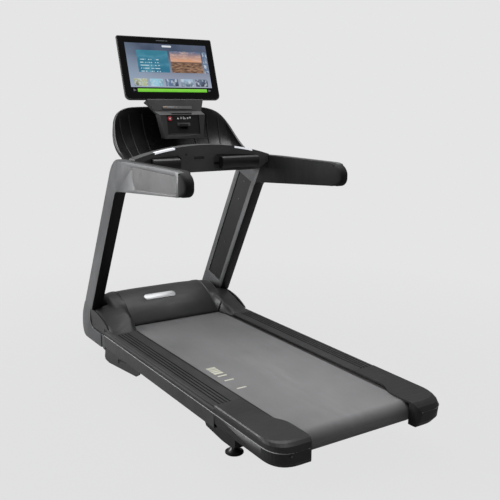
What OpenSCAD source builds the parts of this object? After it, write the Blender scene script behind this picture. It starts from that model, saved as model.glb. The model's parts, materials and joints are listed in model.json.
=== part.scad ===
// Club treadmill: running belt on a cushioned deck, front motor bay with a power lift, two leaning
// ribbon-shaped uprights that turn into the handlebars, a crossbar, an accessory tray and a display.
// Millimetres. +X is the runner's right, +Y is forwards, +Z is up, z = 0 is the floor.
// Modules are drawn with y = 0 at the rear edge, and from_rear() moves them so that y = 0 is mid length.

/* [Overall] */
// Length from the rear end caps to the nose of the motor hood
total_l = 2074; // [1980:1:2500]
// Distance from the rear roller axis to the front roller axis
roller_centres = 1560; // [1380:1:1600]
// Height of the running surface above the floor
belt_top = 234; // [225:1:290]

/* [Running belt] */
// Width of the running belt
belt_w = 559; // [460:1:680]
// Thickness of the running belt
belt_t = 2.2; // [1.5:0.1:3]
// Radius of both rollers
roller_r = 43.2; // [34:0.1:46]
// Radius of the fixed roller axles
axle_r = 10; // [8:0.5:13]
// Thickness of the deck board
deck_t = 25; // [18:1:30]
// Height of the rubber deck cushions
cushion_h = 20.8; // [12:0.1:24]

/* [Foot rails] */
// Gap between the belt edge and the foot rail
rail_gap = 19.5; // [8:0.5:25]
// Width of a foot rail
rail_w = 125; // [100:1:150]
// Height of the foot rails above the belt
rail_rise = 9.4; // [6:0.1:14]
// Length of the smooth moulded end cap behind each foot rail
cap_l = 443; // [380:1:520]
// Width of a frame side beam
beam_w = 60; // [45:1:72]
// Wall of a frame side beam
beam_wall = 3; // [2:0.1:6]

/* [Uprights and handlebars] */
// Lean of the uprights, measured from the floor
lean = 61.2; // [58:0.1:66]
// Depth of an upright, measured across its length
upright_d = 160; // [140:1:175]
// Thickness of an upright from its outer to its inner face
upright_t = 58; // [50:1:66]
// Inward shift of the front edge of an upright against its rear edge
toe_in = 29; // [15:1:35]
// Height of the top of the handlebars
handle_top = 1150; // [1100:1:1220]
// Rearmost point of the handlebars, from the rear edge of the machine
handle_end_y = 663; // [600:1:800]
// Height of the handlebar near its free end
handle_h = 108; // [90:1:118]

/* [Console] */
// Width of the display housing
display_w = 550; // [480:1:600]
// Height of the display housing along its own plane
display_h = 336; // [300:1:360]
// Thickness of the display housing
display_t = 38; // [30:1:50]
// Backward tilt of the display
display_tilt = 18.2; // [10:0.1:25]
// Height of the display's lower edge above the floor
display_z = 1431; // [1410:1:1460]
// Inner radius of a bottle cup
cup_r = 40; // [34:1:44]
// Radius of the stop button
button_r = 12; // [8:0.5:13]
// Travel of the stop button
button_travel = 3; // [1.5:0.5:4]

/* [Lift and drive] */
// Largest downward swing of the lift frame
lift_angle = 31.5; // [20:0.5:32]
// Radius of the two lift wheels
wheel_r = 38; // [32:1:42]
// Width of a lift wheel
wheel_w = 32; // [22:1:36]
// Radius of the drive motor body
motor_r = 60; // [48:1:62]
// Radius of the pulley on the front roller
pulley_r = 38; // [30:0.5:40]
// Radius of the pulley on the motor shaft
motor_pulley_r = 22; // [16:0.5:26]
// Thickness of the ribbed drive belt
drive_belt_t = 4; // [3:0.5:6]

/* [Feet and fasteners] */
// Radius of the base of a levelling foot
foot_r = 39; // [28:1:42]
// Radius of the threaded stud of a levelling foot
stud_r = 6; // [5:0.5:8]
// Radius of a cover screw head
screw_r = 4; // [3:0.5:5]

/* [Clearances] */
// Radial gap of a shaft or pin that turns in a hole
running = 0.05; // [0.02:0.01:0.1]
// Gap between solids that move past each other
gap = 0.3; // [0.2:0.05:0.6]

/* [Hidden] */

$fn = 64;
eps = 0.01;

// Belt and rollers
belt_in_r = roller_r + gap;
belt_out_r = belt_in_r + belt_t;
axis_z = belt_top - belt_out_r;
rear_y = 105;
front_y = rear_y + roller_centres;
belt_bottom = axis_z - belt_out_r;
deck_top = belt_top - belt_t;
deck_bottom = deck_top - deck_t;
cross_top = deck_bottom - cushion_h;
roller_half = belt_w / 2 + 5.5;
bearing_r = 23.5;
bearing_w = 14;
bolt_r = 4;
bolt_in = 11;

// Rails and frame, for the right side
rail_in = belt_w / 2 + rail_gap;
rail_out = rail_in + rail_w;
rail_top = belt_top + rail_rise;
rail_t = 7.4;
side_x = rail_out + 4;
beam_in = rail_in + 23;
beam_out = beam_in + beam_w;
beam_bottom = belt_bottom + 7.4;
beam_top = rail_top - 21.4;
beam_rear = 62;
beam_front = total_l - 130;
panel_bottom = belt_bottom + 3.4;
panel_top = rail_top - 31.9;
panel_t = 4;
hood_rear = front_y - 91;
rail_front = hood_rear + 16;
cross_w = 40;
cross_h = cross_top - beam_bottom;

// Uprights: the rear face passes through (upright_y, upright_ref)
ribbon_out = side_x + 5;
ribbon_in = ribbon_out - upright_t;
upright_ref = 900;
upright_y = front_y - 238;
seam_z = 311;
elbow_bottom = belt_bottom - 7.6;
cover_in = 28;
cover_depth = 50;
cover_inset = 4;
cover_t = 12;
grip_x = ribbon_out - 30;
grip_cap_y = handle_end_y + 52;
inlay_t = 2.2;
corner_r = 150;

// Motor bay
motor_y = front_y + 185;
motor_x0 = 50;
motor_x1 = beam_in - 97;
shaft_r = 9;
pulley_x0 = roller_half + 6;
pulley_w = 20;
flywheel_r = motor_r + 6;
motor_z = beam_bottom + flywheel_r + 9;
flywheel_x0 = motor_x1 + 10;
flywheel_w = 35;
hood_t = 3;
hood_x = ribbon_in - toe_in - 3;
hood_front = total_l;
hood_top = belt_top + 145;
wing_x = side_x - 8;
ridge_x = belt_w / 2 + 8;
badge_x = -42;
badge_half = 88;
badge_tilt = 27;
toe_a = atan(toe_in / upright_d);

// Lift: the frame turns about (lift_y, lift_z) and its wheels stand on the floor
lift_y = front_y - 205;
lift_z = belt_bottom - 38.6;
lift_pin_r = 10;
wheel_y = lift_y + 430;
wheel_axle_r = 8;
wheel_x = beam_in - 60;
arm_x = beam_in - 20;
arm_w = 26;
push_y = lift_y + 295;
push_z = lift_z - 24;
push_r = 7;
push_len = norm([push_y - lift_y, push_z - lift_z]);
push_mid = atan2(push_z - lift_z, push_y - lift_y) - lift_angle / 2;
push_sag = push_len * (1 - cos(lift_angle / 2));
push_tilt = -push_mid;
eye_r = push_r + push_sag / 2 + 0.6;
screw_len = 250;
tube_r = 17;
bracket_x = side_x - 26;

// Handlebar and crossbar
bar_rear = upright_y - 175;
bar_front = bar_rear + 68;
bar_bottom = handle_top - 67;
bar_rise = 66;
bar_drop = 8;
bar_half = ribbon_in + 4;
paddle_x = 180;
paddle_w = 214;
left_paddle_x = 232;
left_paddle_w = 140;
paddle_z = handle_top - 20;
pivot_y = bar_rear + 14;
pivot_r = 4;

// Console
tray_rear = bar_front;
tray_front = tray_rear + 368;
tray_t = 10;
tray_floor = handle_top - 32;
tray_top = display_z - 41;
tray_low = ribbon_in - toe_in - 5;
cup_x = 250;
cup_y = tray_rear + 108;
cup_wall = 3;
cup_depth = 62;
neck_y = upright_y + 39;
neck_z = display_z - 195;
display_y = neck_y + 108;
glass_t = 3;
panel_tilt = 9.7;
panel_z = neck_z + 20;
panel_h = 98;
panel_w = 186;
panel_deep = 8;
button_x = -76;
button_z = panel_z + 81;

// Rear feet
foot_x = beam_in - 6;
foot_y = 466;
bracket_z = 40;
bracket_t = 6;

// Power entry at the front of the motor bay
inlet_x = -230;
inlet_w = 62;
inlet_h = 52;

// ---------------------------------------------------------------- helpers

// Moves parts drawn from the rear edge into the frame of the machine
module from_rear() translate([0, -total_l / 2, 0]) children();

// Extrudes a (y, z) outline along X from x0 to x1
module yz(x0, x1) translate([x0, 0, 0]) rotate([90, 0, 90]) linear_extrude(x1 - x0) children();

// Extrudes an (x, z) outline along Y from y0 to y1
module xz(y0, y1) translate([0, y1, 0]) rotate([90, 0, 0]) linear_extrude(y1 - y0) children();

// Extrudes an (x, y) outline along Z from z0 to z1
module xy(z0, z1) translate([0, 0, z0]) linear_extrude(z1 - z0) children();

// Box between two corners
module box(low, high) translate(low) cube(high - low);

// Cylinder along X between x0 and x1, about (y, z)
module xrod(r, x0, x1, y, z) translate([x0, y, z]) rotate([0, 90, 0]) cylinder(h = x1 - x0, r = r);

// Cylinder along Y between y0 and y1, about (x, z)
module yrod(r, y0, y1, x, z) translate([x, y0, z]) rotate([-90, 0, 0]) cylinder(h = y1 - y0, r = r);

// Draws its children on the right and mirrored on the left
module both_sides() {
    children();
    mirror([1, 0, 0]) children();
}

module left_side() mirror([1, 0, 0]) children();

// Point at t on a quadratic curve, and a list of n points that leaves out the start
function curve_at(a, b, c, t) = (1 - t) * (1 - t) * a + 2 * t * (1 - t) * b + t * t * c;
function curve(a, b, c, n = 10) = [for (i = [1:n]) curve_at(a, b, c, i / n)];

// Points on an arc about c from angle a0 to a1
function arc(c, r, a0, a1, n = 12) = [
    for (i = [0:n]) c + r * [cos(a0 + (a1 - a0) * i / n), sin(a0 + (a1 - a0) * i / n)]
];

// Rear and front edge of an upright at height z
function upright_rear(z) = upright_y + (upright_ref - z) / tan(lean);
function upright_front(z) = upright_rear(z) + upright_d / sin(lean);

// ---------------------------------------------------------------- frame and deck

module side_beam() {
    difference() {
        box([beam_in, beam_rear, beam_bottom], [beam_out, beam_front, beam_top]);
        box([beam_in + beam_wall, beam_rear + 5, beam_bottom + beam_wall],
            [beam_out - beam_wall, beam_front - 5, beam_top - beam_wall]);
        yrod(bolt_r + running, beam_rear - 1, beam_rear + 6, beam_in + bolt_in, axis_z);
        xrod(axle_r + running, beam_in - 1, beam_in + beam_w / 2, rear_y, axis_z);
        xrod(axle_r + running, beam_in - 1, beam_in + beam_w / 2, front_y, axis_z);
    }
}

module left_side_beam() color("#26282a") from_rear() left_side() side_beam();
module right_side_beam() color("#26282a") from_rear() side_beam();

cross_ys = [for (i = [0:3]) rear_y + roller_centres * (0.094 + 0.25 * i)];
tower_x = 30;
tower_t = 6;
// The upper pivot of the lift motor, on the line that the screw slides along
top_y = push_y + screw_len * sin(push_tilt) + push_sag / 2 * cos(push_tilt);
top_z = push_z + screw_len * cos(push_tilt) - push_sag / 2 * sin(push_tilt);

module lift_tower() {
    both_sides() yz(tower_x, tower_x + tower_t) difference() {
        polygon([
            [top_y - 16, top_z - 16], [top_y - 16, top_z + 12], [top_y + 16, top_z + 12],
            [beam_front - 4, beam_bottom + cross_h], [beam_front - 4, beam_bottom],
            [beam_front - 40, beam_bottom]
        ]);
        translate([top_y, top_z]) circle(r = push_r + running);
    }
}

module cross_members() {
    color("#2b2d2f") from_rear() {
        for (y = cross_ys) {
            difference() {
                box([-beam_in, y - cross_w / 2, beam_bottom], [beam_in, y + cross_w / 2, cross_top]);
                box([-beam_in - 1, y - cross_w / 2 + beam_wall, beam_bottom + beam_wall],
                    [beam_in + 1, y + cross_w / 2 - beam_wall, cross_top - beam_wall]);
            }
        }
        box([-beam_in, beam_front - cross_w, beam_bottom], [beam_in, beam_front, beam_bottom + cross_h]);
        lift_tower();
        // Mounting plates for the motor and the control box
        box([tower_x + tower_t, motor_y - 50, beam_bottom], [beam_in, beam_front - cross_w, beam_bottom + 5]);
        box([-beam_in, motor_y - 50, beam_bottom], [-tower_x - tower_t, beam_front - cross_w, beam_bottom + 5]);
    }
}

deck_rear = rear_y + belt_in_r + 16;
deck_front = front_y - belt_in_r - 16;

module deck_board() {
    color("#6d5a45") from_rear()
        box([-rail_in, deck_rear, deck_bottom], [rail_in, deck_front, deck_top]);
}

module deck_cushions() {
    color("#1b1b1b") from_rear()
        for (y = cross_ys, x = [-rail_in + 40, -rail_in / 3, rail_in / 3, rail_in - 40])
            translate([x, y, cross_top]) cylinder(h = cushion_h, r = 17);
}

module loop_outline(r, y0, z0, y1, z1) {
    hull_len = norm([y1 - y0, z1 - z0]);
    translate([y0, z0]) circle(r = r);
    translate([y1, z1]) circle(r = r);
    translate([y0, z0]) rotate(atan2(z1 - z0, y1 - y0)) translate([0, -r]) square([hull_len, 2 * r]);
}

module running_belt() {
    color("#6f7173") from_rear() yz(-belt_w / 2, belt_w / 2) difference() {
        loop_outline(belt_out_r, rear_y, axis_z, front_y, axis_z);
        loop_outline(belt_in_r, rear_y, axis_z, front_y, axis_z);
    }
}

// ---------------------------------------------------------------- rollers

module roller_tube(y) {
    difference() {
        xrod(roller_r, -roller_half, roller_half, y, axis_z);
        xrod(roller_r - 4, -roller_half + 24, roller_half - 24, y, axis_z);
        xrod(axle_r + 3, -roller_half - 1, roller_half + 1, y, axis_z);
        for (s = [-1, 1])
            xrod(bearing_r + running, s * (roller_half - bearing_w / 2 + 1) - bearing_w / 2 - 1,
                 s * (roller_half - bearing_w / 2 + 1) + bearing_w / 2 + 1, y, axis_z);
    }
}

module front_roller() {
    color("#8d9093") from_rear() {
        difference() {
            union() {
                roller_tube(front_y);
                difference() {
                    xrod(pulley_r, pulley_x0, pulley_x0 + pulley_w, front_y, axis_z);
                    xrod(bearing_r + 3, pulley_x0 - 1, pulley_x0 + pulley_w - 8, front_y, axis_z);
                    xrod(axle_r + 3, pulley_x0 - 1, pulley_x0 + pulley_w + 1, front_y, axis_z);
                }
                // Neck that carries the pulley on the roller's end
                difference() {
                    xrod(bearing_r + 8, roller_half - 1, pulley_x0 + pulley_w - 8, front_y, axis_z);
                    xrod(bearing_r + 3, roller_half - 2, pulley_x0 + pulley_w, front_y, axis_z);
                }
            }
        }
    }
}

module rear_roller() color("#8d9093") from_rear() roller_tube(rear_y);

module roller_axles() {
    color("#b9bcc0") from_rear()
        for (y = [rear_y, front_y]) xrod(axle_r, -beam_in - 12, beam_in + 12, y, axis_z);
}

module roller_bearings() {
    color("#a0a3a6") from_rear()
        for (y = [rear_y, front_y], s = [-1, 1])
            translate([s * (roller_half - bearing_w / 2), y, axis_z]) rotate([0, 90, 0]) difference() {
                cylinder(h = bearing_w, r = bearing_r, center = true);
                cylinder(h = bearing_w + 2, r = axle_r + 0.01, center = true);
            }
}

// Tension bolts behind the rear axle, and the nuts of the front axle
module axle_bolts() {
    color("#9a9da0") from_rear() both_sides() {
        yrod(bolt_r, beam_rear - 1, rear_y - axle_r - 0.02, beam_in + bolt_in, axis_z);
        yrod(8, beam_rear - 7, beam_rear, beam_in + bolt_in, axis_z);
        translate([beam_in + beam_wall, front_y, axis_z]) rotate([0, 90, 0]) difference() {
            cylinder(h = 8, r = axle_r + 8, $fn = 6);
            translate([0, 0, -1]) cylinder(h = 10, r = axle_r + 0.01);
        }
    }
}

// ---------------------------------------------------------------- foot rails and panels

module foot_rail() {
    xz(cap_l, rail_front) {
        translate([rail_in, rail_top - rail_t]) square([rail_w - 8, rail_t]);
        // Rounded outer corner and skirt
        translate([rail_out - 8, rail_top - 8]) intersection() {
            circle(r = 8);
            square([8, 8]);
        }
        translate([rail_out - 8, panel_top + 1.5]) square([8, rail_top - 8 - panel_top - 1.5]);
        polygon([
            [rail_out - eps, rail_top - 12], [side_x, rail_top - 20], [side_x, panel_top + 1.5],
            [rail_out - eps, panel_top + 1.5]
        ]);
        // Webs that stand on the side beam
        for (x = [beam_in + 6, beam_out - 10]) translate([x, beam_top]) square([4, rail_top - rail_t - beam_top]);
    }
    // Tread ribs
    for (i = [0:3])
        box([rail_in + 44 + i * 17, cap_l, rail_top - eps], [rail_in + 50 + i * 17, hood_rear - 110, rail_top + 1.2]);
}

module left_foot_rail() color("#4b4d50") from_rear() left_side() foot_rail();
module right_foot_rail() color("#4b4d50") from_rear() foot_rail();

module side_panel() {
    xz(cap_l, rail_front) difference() {
        translate([beam_out, panel_bottom]) square([side_x - beam_out, panel_top - panel_bottom]);
        translate([beam_out - 1, panel_bottom + panel_t])
            square([side_x - panel_t - beam_out + 1, panel_top - panel_bottom - 2 * panel_t]);
    }
}

module left_side_panel() color("#5a5c5f") from_rear() left_side() side_panel();
module right_side_panel() color("#5a5c5f") from_rear() side_panel();

cap_in = rail_in - 37;
cap_step = 150;
cap_screw_x = rail_in + 64;

// Plan outline of the end cap, grown inwards by t from its outer edges
module cap_plan(t = 0) {
    polygon(concat(
        [[rail_in + t, cap_l], [side_x - t, cap_l], [side_x - t, 78]],
        curve([side_x - t, 78], [side_x - t, t], [side_x - 72, t]),
        [[cap_in + 34, t]],
        curve([cap_in + 34, t], [cap_in + t, t], [cap_in + t, 34]),
        [[cap_in + t, cap_step - 10]],
        curve([cap_in + t, cap_step - 10], [cap_in + t, cap_step + 30], [rail_in - 14 + t, cap_step + 64]),
        curve([rail_in - 14 + t, cap_step + 64], [rail_in + t, cap_step + 90], [rail_in + t, cap_step + 130])
    ));
}

// Outline of the cap at one level: side inset, rear edge and height
module cap_level(inset, rear, z) {
    side = side_x - inset;
    translate([0, 0, z]) linear_extrude(0.02) polygon(concat(
        [[0, cap_l + 20], [side, cap_l + 20], [side, rear + 104]],
        curve([side, rear + 104], [side, rear], [side - 96, rear]),
        [[0, rear]]
    ));
}

// Body of the cap, drawn t inside its outer faces
module cap_body(t) {
    intersection() {
        hull() {
            cap_level(16 + t, 17 + t, panel_bottom + (t > 0 ? -1 : 0));
            cap_level(3 + t, 4 + t, panel_bottom + 20);
            cap_level(t, t, panel_top + 1);
            cap_level(1 + t, 12 + t, rail_top - 14);
            cap_level(3 + t, 26 + t, rail_top - 5 - (t > 0 ? rail_t - 2 : 0));
            cap_level(7 + t, 37 + t, rail_top - 0.02 - (t > 0 ? rail_t : 0));
        }
        xy(panel_bottom - 2, rail_top + 1) cap_plan(t);
    }
}

module end_cap() {
    difference() {
        cap_body(0);
        cap_body(panel_t);
        // Room for the beam and the roller
        box([0, rear_y - belt_out_r - 3, 0], [beam_out, cap_l + 1, rail_top - rail_t]);
        yrod(screw_r + 2, -1, 4.5, cap_screw_x, panel_top - 14);
        // Shadow line between the upper trim and the lower panel
        difference() {
            xy(panel_top - 1, panel_top + 0.5) cap_plan(-5);
            xy(panel_top - 2, panel_top + 2) cap_plan(1);
        }
    }
    // Seat of the screw, and mounting rib on the outer face of the beam
    yrod(screw_r + 4, 4.5, 9, cap_screw_x, panel_top - 14);
    box([beam_out, cap_l - 60, panel_bottom + 20], [side_x - panel_t, cap_l - 56, rail_top - rail_t]);
}

module left_end_cap() color("#3b3d3f") from_rear() left_side() end_cap();
module right_end_cap() color("#3b3d3f") from_rear() end_cap();

// ---------------------------------------------------------------- feet

module foot_bracket() {
    outline_top = beam_bottom;
    difference() {
        yz(foot_x - 30, foot_x + 30) polygon([
            [foot_y - 52, outline_top], [foot_y + 258, outline_top], [foot_y + 184, bracket_z + 14],
            [foot_y + 50, bracket_z], [foot_y - 42, bracket_z], [foot_y - 52, bracket_z + 16]
        ]);
        yz(foot_x - 26, foot_x + 26) polygon([
            [foot_y - 46, outline_top - 4], [foot_y + 240, outline_top - 4],
            [foot_y + 180, bracket_z + 14 + bracket_t], [foot_y + 50, bracket_z + bracket_t],
            [foot_y - 46, bracket_z + bracket_t]
        ]);
        translate([foot_x, foot_y, bracket_z - 1]) cylinder(h = bracket_t + 2, r = stud_r + running);
    }
}

module foot_brackets() color("#1f2021") from_rear() both_sides() foot_bracket();

module rear_foot() {
    translate([foot_x, foot_y, 0]) {
        rotate_extrude() polygon(concat(
            [[0, 0], [foot_r - 2, 0], [foot_r, 2], [foot_r, 7]],
            curve([foot_r, 7], [foot_r - 16, 14], [15, 28], 8),
            [[0, 28]]
        ));
        cylinder(h = bracket_z + bracket_t + 34, r = stud_r);
        translate([0, 0, 28 - eps]) cylinder(h = bracket_z - gap - 28, r = 11, $fn = 6);
        translate([0, 0, bracket_z + bracket_t + gap]) cylinder(h = 8, r = 11, $fn = 6);
    }
}

module left_rear_foot() color("#161616") from_rear() left_side() rear_foot();
module right_rear_foot() color("#161616") from_rear() rear_foot();

// ---------------------------------------------------------------- motor bay

module drive_motor() {
    color("#3a3c3e") from_rear() {
        difference() {
            union() {
                xrod(motor_r, motor_x0, motor_x1, motor_y, motor_z);
                for (i = [0:5])
                    xrod(motor_r + 2, motor_x0 + 18 + i * 22, motor_x0 + 26 + i * 22, motor_y, motor_z);
                // Cradle down to the mounting plate
                box([motor_x0 + 20, motor_y - 44, beam_bottom + 5], [motor_x1 - 20, motor_y + 44, motor_z - motor_r / 3]);
            }
            xrod(shaft_r + running, motor_x0 - 1, motor_x1 + 1, motor_y, motor_z);
        }
    }
}

module motor_shaft() {
    color("#b9bcc0") from_rear()
        xrod(shaft_r, motor_x0 - 12, pulley_x0 + pulley_w + 3, motor_y, motor_z);
}

module motor_pulley() {
    color("#8a8c8e") from_rear() difference() {
        union() {
            xrod(motor_pulley_r, pulley_x0, pulley_x0 + pulley_w, motor_y, motor_z);
            xrod(motor_pulley_r + 3, pulley_x0 - 2, pulley_x0 + eps, motor_y, motor_z);
        }
        xrod(shaft_r + 0.01, pulley_x0 - 3, pulley_x0 + pulley_w + 1, motor_y, motor_z);
    }
}

module motor_flywheel() {
    color("#4d4f52") from_rear() difference() {
        xrod(flywheel_r, flywheel_x0, flywheel_x0 + flywheel_w, motor_y, motor_z);
        xrod(flywheel_r - 12, flywheel_x0 + 12, flywheel_x0 + flywheel_w + 1, motor_y, motor_z);
        xrod(shaft_r + 0.01, flywheel_x0 - 1, flywheel_x0 + flywheel_w + 1, motor_y, motor_z);
        for (a = [0:45:315])
            xrod(5, flywheel_x0 - 1, flywheel_x0 + 13,
                 motor_y + 34 * cos(a), motor_z + 34 * sin(a));
    }
}

// Wraps two pulleys of different radii: an arc round each, joined by the outer tangent lines
module belt_wrap(t) {
    r0 = pulley_r + gap + t;
    r1 = motor_pulley_r + gap + t;
    d = norm([motor_y - front_y, motor_z - axis_z]);
    a = atan2(motor_z - axis_z, motor_y - front_y);
    b = acos((r0 - r1) / d);
    polygon(concat(
        arc([front_y, axis_z], r0, a + b, a - b + 360, 30),
        arc([motor_y, motor_z], r1, a - b, a + b, 20)
    ));
}

module drive_belt() {
    color("#141414") from_rear() yz(pulley_x0 + 1, pulley_x0 + pulley_w - 1) difference() {
        belt_wrap(drive_belt_t);
        belt_wrap(0);
    }
}

module control_box() {
    box_x0 = -beam_in + 24;
    box_x1 = -tower_x - 40;
    box_y0 = motor_y - 48;
    box_y1 = motor_y + 50;
    color("#909396") from_rear() {
        box([box_x0, box_y0, beam_bottom + 5], [box_x1, box_y1, beam_bottom + 60]);
        for (i = [0:7])
            box([box_x0 + 14 + i * 27, box_y0 + 6, beam_bottom + 60 - eps],
                [box_x0 + 18 + i * 27, box_y1 - 6, beam_bottom + 88]);
    }
}

module belly_pan() {
    color("#1c1d1e") from_rear() difference() {
        union() {
            box([-hood_x + 4, front_y + belt_out_r + 8, beam_bottom - 16],
                [hood_x - 4, hood_front - 6, beam_bottom - 12]);
            box([-beam_in + 8, beam_front - 24, beam_bottom - 12 - eps],
                [beam_in - 8, beam_front - 18, beam_bottom]);
        }
        box([-tower_x - 8, front_y, 0], [tower_x + 8, motor_y, beam_bottom]);
    }
}

hood_mid = [hood_rear + 86, hood_top - 54];
hood_crest = [hood_rear + 216, hood_top - 4];

// Side outline of the middle of the hood; t draws the same outline further in
function hood_middle(t) = concat(
    [[hood_rear + t, rail_top - 5], [hood_rear + t, rail_top]],
    curve([hood_rear + t, rail_top], hood_mid + [t, -t], hood_crest - [0, t]),
    curve(hood_crest - [0, t], hood_crest + [24, 2 - t], hood_crest + [52, -6 - t], 4),
    curve(hood_crest + [52, -6 - t], [hood_front - 66 - t, hood_top - 84 - t],
          [hood_front - 6 - t, beam_bottom + 100]),
    [[hood_front - t, beam_bottom - 10], [front_y + belt_out_r + 5, beam_bottom - 10],
     [front_y + belt_out_r + 5, rail_top - 5]]
);

// Side outlines of the shoulders that run back over the foot rails: at the ridge and at the outer edge
function shoulder(y0, top, t) = concat(
    [[y0 + t, rail_top]],
    curve([y0 + t, rail_top], [y0 + 90 + t, rail_top + 0.78 * top - t], [y0 + 340, rail_top + top - t], 8),
    [[y0 + 340, rail_top]]
);

module hood_shoulder(t) {
    hull() {
        yz(ridge_x - 26 + t, ridge_x) polygon(shoulder(hood_rear - 94, 106, t));
        yz(wing_x - 6 - t, wing_x - t) polygon(shoulder(hood_rear - 60, 72, t));
    }
}

module hood_solid(t) {
    intersection() {
        yz(-hood_x + t, hood_x - t) polygon(hood_middle(t));
        xz(hood_rear - 10, hood_front + 10) polygon(concat(
            [[-hood_x - 5, beam_bottom - 60], [-hood_x - 5, hood_top - 44 - t]],
            curve([-hood_x - 5, hood_top - 44 - t], [-hood_x + 130, hood_top - t], [-40, hood_top - t], 10),
            curve([40, hood_top - t], [hood_x - 130, hood_top - t], [hood_x + 5, hood_top - 44 - t], 10),
            [[hood_x + 5, beam_bottom - 60]]
        ));
    }
    both_sides() hood_shoulder(t);
}

// Space kept free behind the rear faces of the uprights
module upright_space() {
    both_sides() yz(hood_x, ribbon_out + 40) polygon([
        [upright_rear(rail_top) - 1.5, rail_top - 60], [upright_rear(rail_top) - 1.5, rail_top],
        [upright_rear(500) - 1.5, 500], [total_l + 200, 500], [total_l + 200, rail_top - 60]
    ]);
}

module motor_hood() {
    color("#343638") from_rear() difference() {
        hood_solid(0);
        difference() {
            hood_solid(hood_t);
            // Rear lip over the belt
            box([-belt_w, hood_rear - 200, rail_top - 5 - eps], [belt_w, hood_rear + hood_t, rail_top + 4]);
        }
        box([-hood_x + hood_t, hood_rear + hood_t, rail_top - 60], [hood_x - hood_t, hood_front - 40, rail_top + 4]);
        both_sides() box([ridge_x - 20, hood_rear - 60, rail_top - 1], [wing_x - 14, hood_rear + 150, rail_top + 6]);
        upright_space();
        badge_plate(0);
        both_sides() {
            yz(hood_x, ribbon_out + 20) elbow_outline();
            box([rail_in - 1, 0, 0], [side_x + 1, rail_front + 1, rail_top]);
            box([beam_in - 1, 0, 0], [side_x + 1, beam_front + 1, beam_top]);
        }
        // Window for the power inlet
        box([inlet_x - inlet_w / 2, hood_front - 60, beam_bottom + 6],
            [inlet_x + inlet_w / 2, hood_front + 1, beam_bottom + 6 + inlet_h]);
    }
}

// Rounded plate set on the rear slope of the hood
module badge_plate(t) {
    at = curve_at([hood_rear, rail_top], hood_mid, hood_crest, 0.7);
    translate([badge_x, at[0], at[1] - 1.2]) rotate([badge_tilt, 0, 0]) {
        translate([-badge_half, -10 - t, 0]) cube([2 * badge_half, 20 + 2 * t, 3.2]);
        for (x = [-badge_half, badge_half]) translate([x, 0, 0]) cylinder(h = 3.2, r = 10 + t);
    }
}

module hood_badge() color("#d9dadb") from_rear() badge_plate(0);

module power_inlet() {
    color("#151515") from_rear() difference() {
        box([inlet_x - inlet_w / 2, hood_front - 56, beam_bottom + 6],
            [inlet_x + inlet_w / 2, hood_front - 5, beam_bottom + 6 + inlet_h]);
        // Appliance inlet recess
        box([inlet_x - 14, hood_front - 30, beam_bottom + 12], [inlet_x + 14, hood_front, beam_bottom + 30]);
        // Rocker recess
        box([inlet_x - 14, hood_front - 20, beam_bottom + 33], [inlet_x + 14, hood_front, beam_bottom + 55]);
        xrod(2.55, inlet_x - 18, inlet_x + 18, hood_front - 12, beam_bottom + 44);
    }
}

module power_switch() {
    color("#a01818") from_rear() {
        yz(inlet_x - 13, inlet_x + 13) polygon([
            [hood_front - 14, beam_bottom + 37], [hood_front - 3, beam_bottom + 36],
            [hood_front - 6, beam_bottom + 44], [hood_front - 3, beam_bottom + 52],
            [hood_front - 14, beam_bottom + 51]
        ]);
        xrod(2.5, inlet_x - 17.5, inlet_x + 17.5, hood_front - 12, beam_bottom + 44);
    }
}

// ---------------------------------------------------------------- lift

module lift_bracket() {
    difference() {
        union() {
            yz(bracket_x, bracket_x + 6) polygon([
                [lift_y - 280, panel_bottom], [lift_y - 256, lift_z + 9], [lift_y - 218, lift_z - 12],
                [lift_y + 127, lift_z - 49], [lift_y + 176, lift_z - 44], [lift_y + 186, lift_z - 30],
                [lift_y + 172, elbow_bottom], [rail_front, elbow_bottom], [rail_front, panel_bottom]
            ]);
            box([beam_in + 18, lift_y - 280, panel_bottom - 4], [bracket_x + 6, rail_front, panel_bottom]);
            box([beam_in + 18, lift_y - 280, panel_bottom - eps], [beam_out - 1, rail_front, beam_bottom]);
        }
        xrod(lift_pin_r + running, bracket_x - 1, bracket_x + 7, lift_y, lift_z);
    }
}

module lift_brackets() color("#4a4c4e") from_rear() both_sides() lift_bracket();

module lift_arm() {
    yz(arm_x - arm_w / 2, arm_x + arm_w / 2) polygon([
        [lift_y - 20, lift_z - 14], [lift_y - 16, lift_z + 14], [lift_y + 20, lift_z + 16],
        [push_y - 20, push_z + 20], [wheel_y + 14, wheel_r + 16], [wheel_y + 16, wheel_r - 14],
        [wheel_y - 14, wheel_r - 18], [push_y - 30, push_z - 18]
    ]);
    xrod(wheel_axle_r, wheel_x - wheel_w / 2 - 5, arm_x - arm_w / 2 + eps, wheel_y, wheel_r);
    xrod(13, wheel_x - wheel_w / 2 - 10, wheel_x - wheel_w / 2 - 1, wheel_y, wheel_r);
    xrod(13, wheel_x + wheel_w / 2 + 1, arm_x - arm_w / 2 + eps, wheel_y, wheel_r);
}

module lift_frame() {
    color("#2a2c2e") from_rear() {
        both_sides() lift_arm();
        xrod(16, -bracket_x + 2, bracket_x - 2, lift_y, lift_z);
        xrod(lift_pin_r, -bracket_x - 9, bracket_x + 9, lift_y, lift_z);
        xrod(push_r, -arm_x, arm_x, push_y, push_z);
        both_sides() xrod(15, 26, arm_x, push_y, push_z);
    }
}

module lift_wheel() {
    difference() {
        union() {
            xrod(wheel_r, wheel_x - wheel_w / 2 + 3, wheel_x + wheel_w / 2 - 3, wheel_y, wheel_r);
            xrod(wheel_r - 3, wheel_x - wheel_w / 2, wheel_x + wheel_w / 2, wheel_y, wheel_r);
        }
        xrod(wheel_axle_r + running, wheel_x - wheel_w, wheel_x + wheel_w, wheel_y, wheel_r);
    }
}

module left_lift_wheel() color("#202020") from_rear() left_side() lift_wheel();
module right_lift_wheel() color("#202020") from_rear() lift_wheel();

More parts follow.
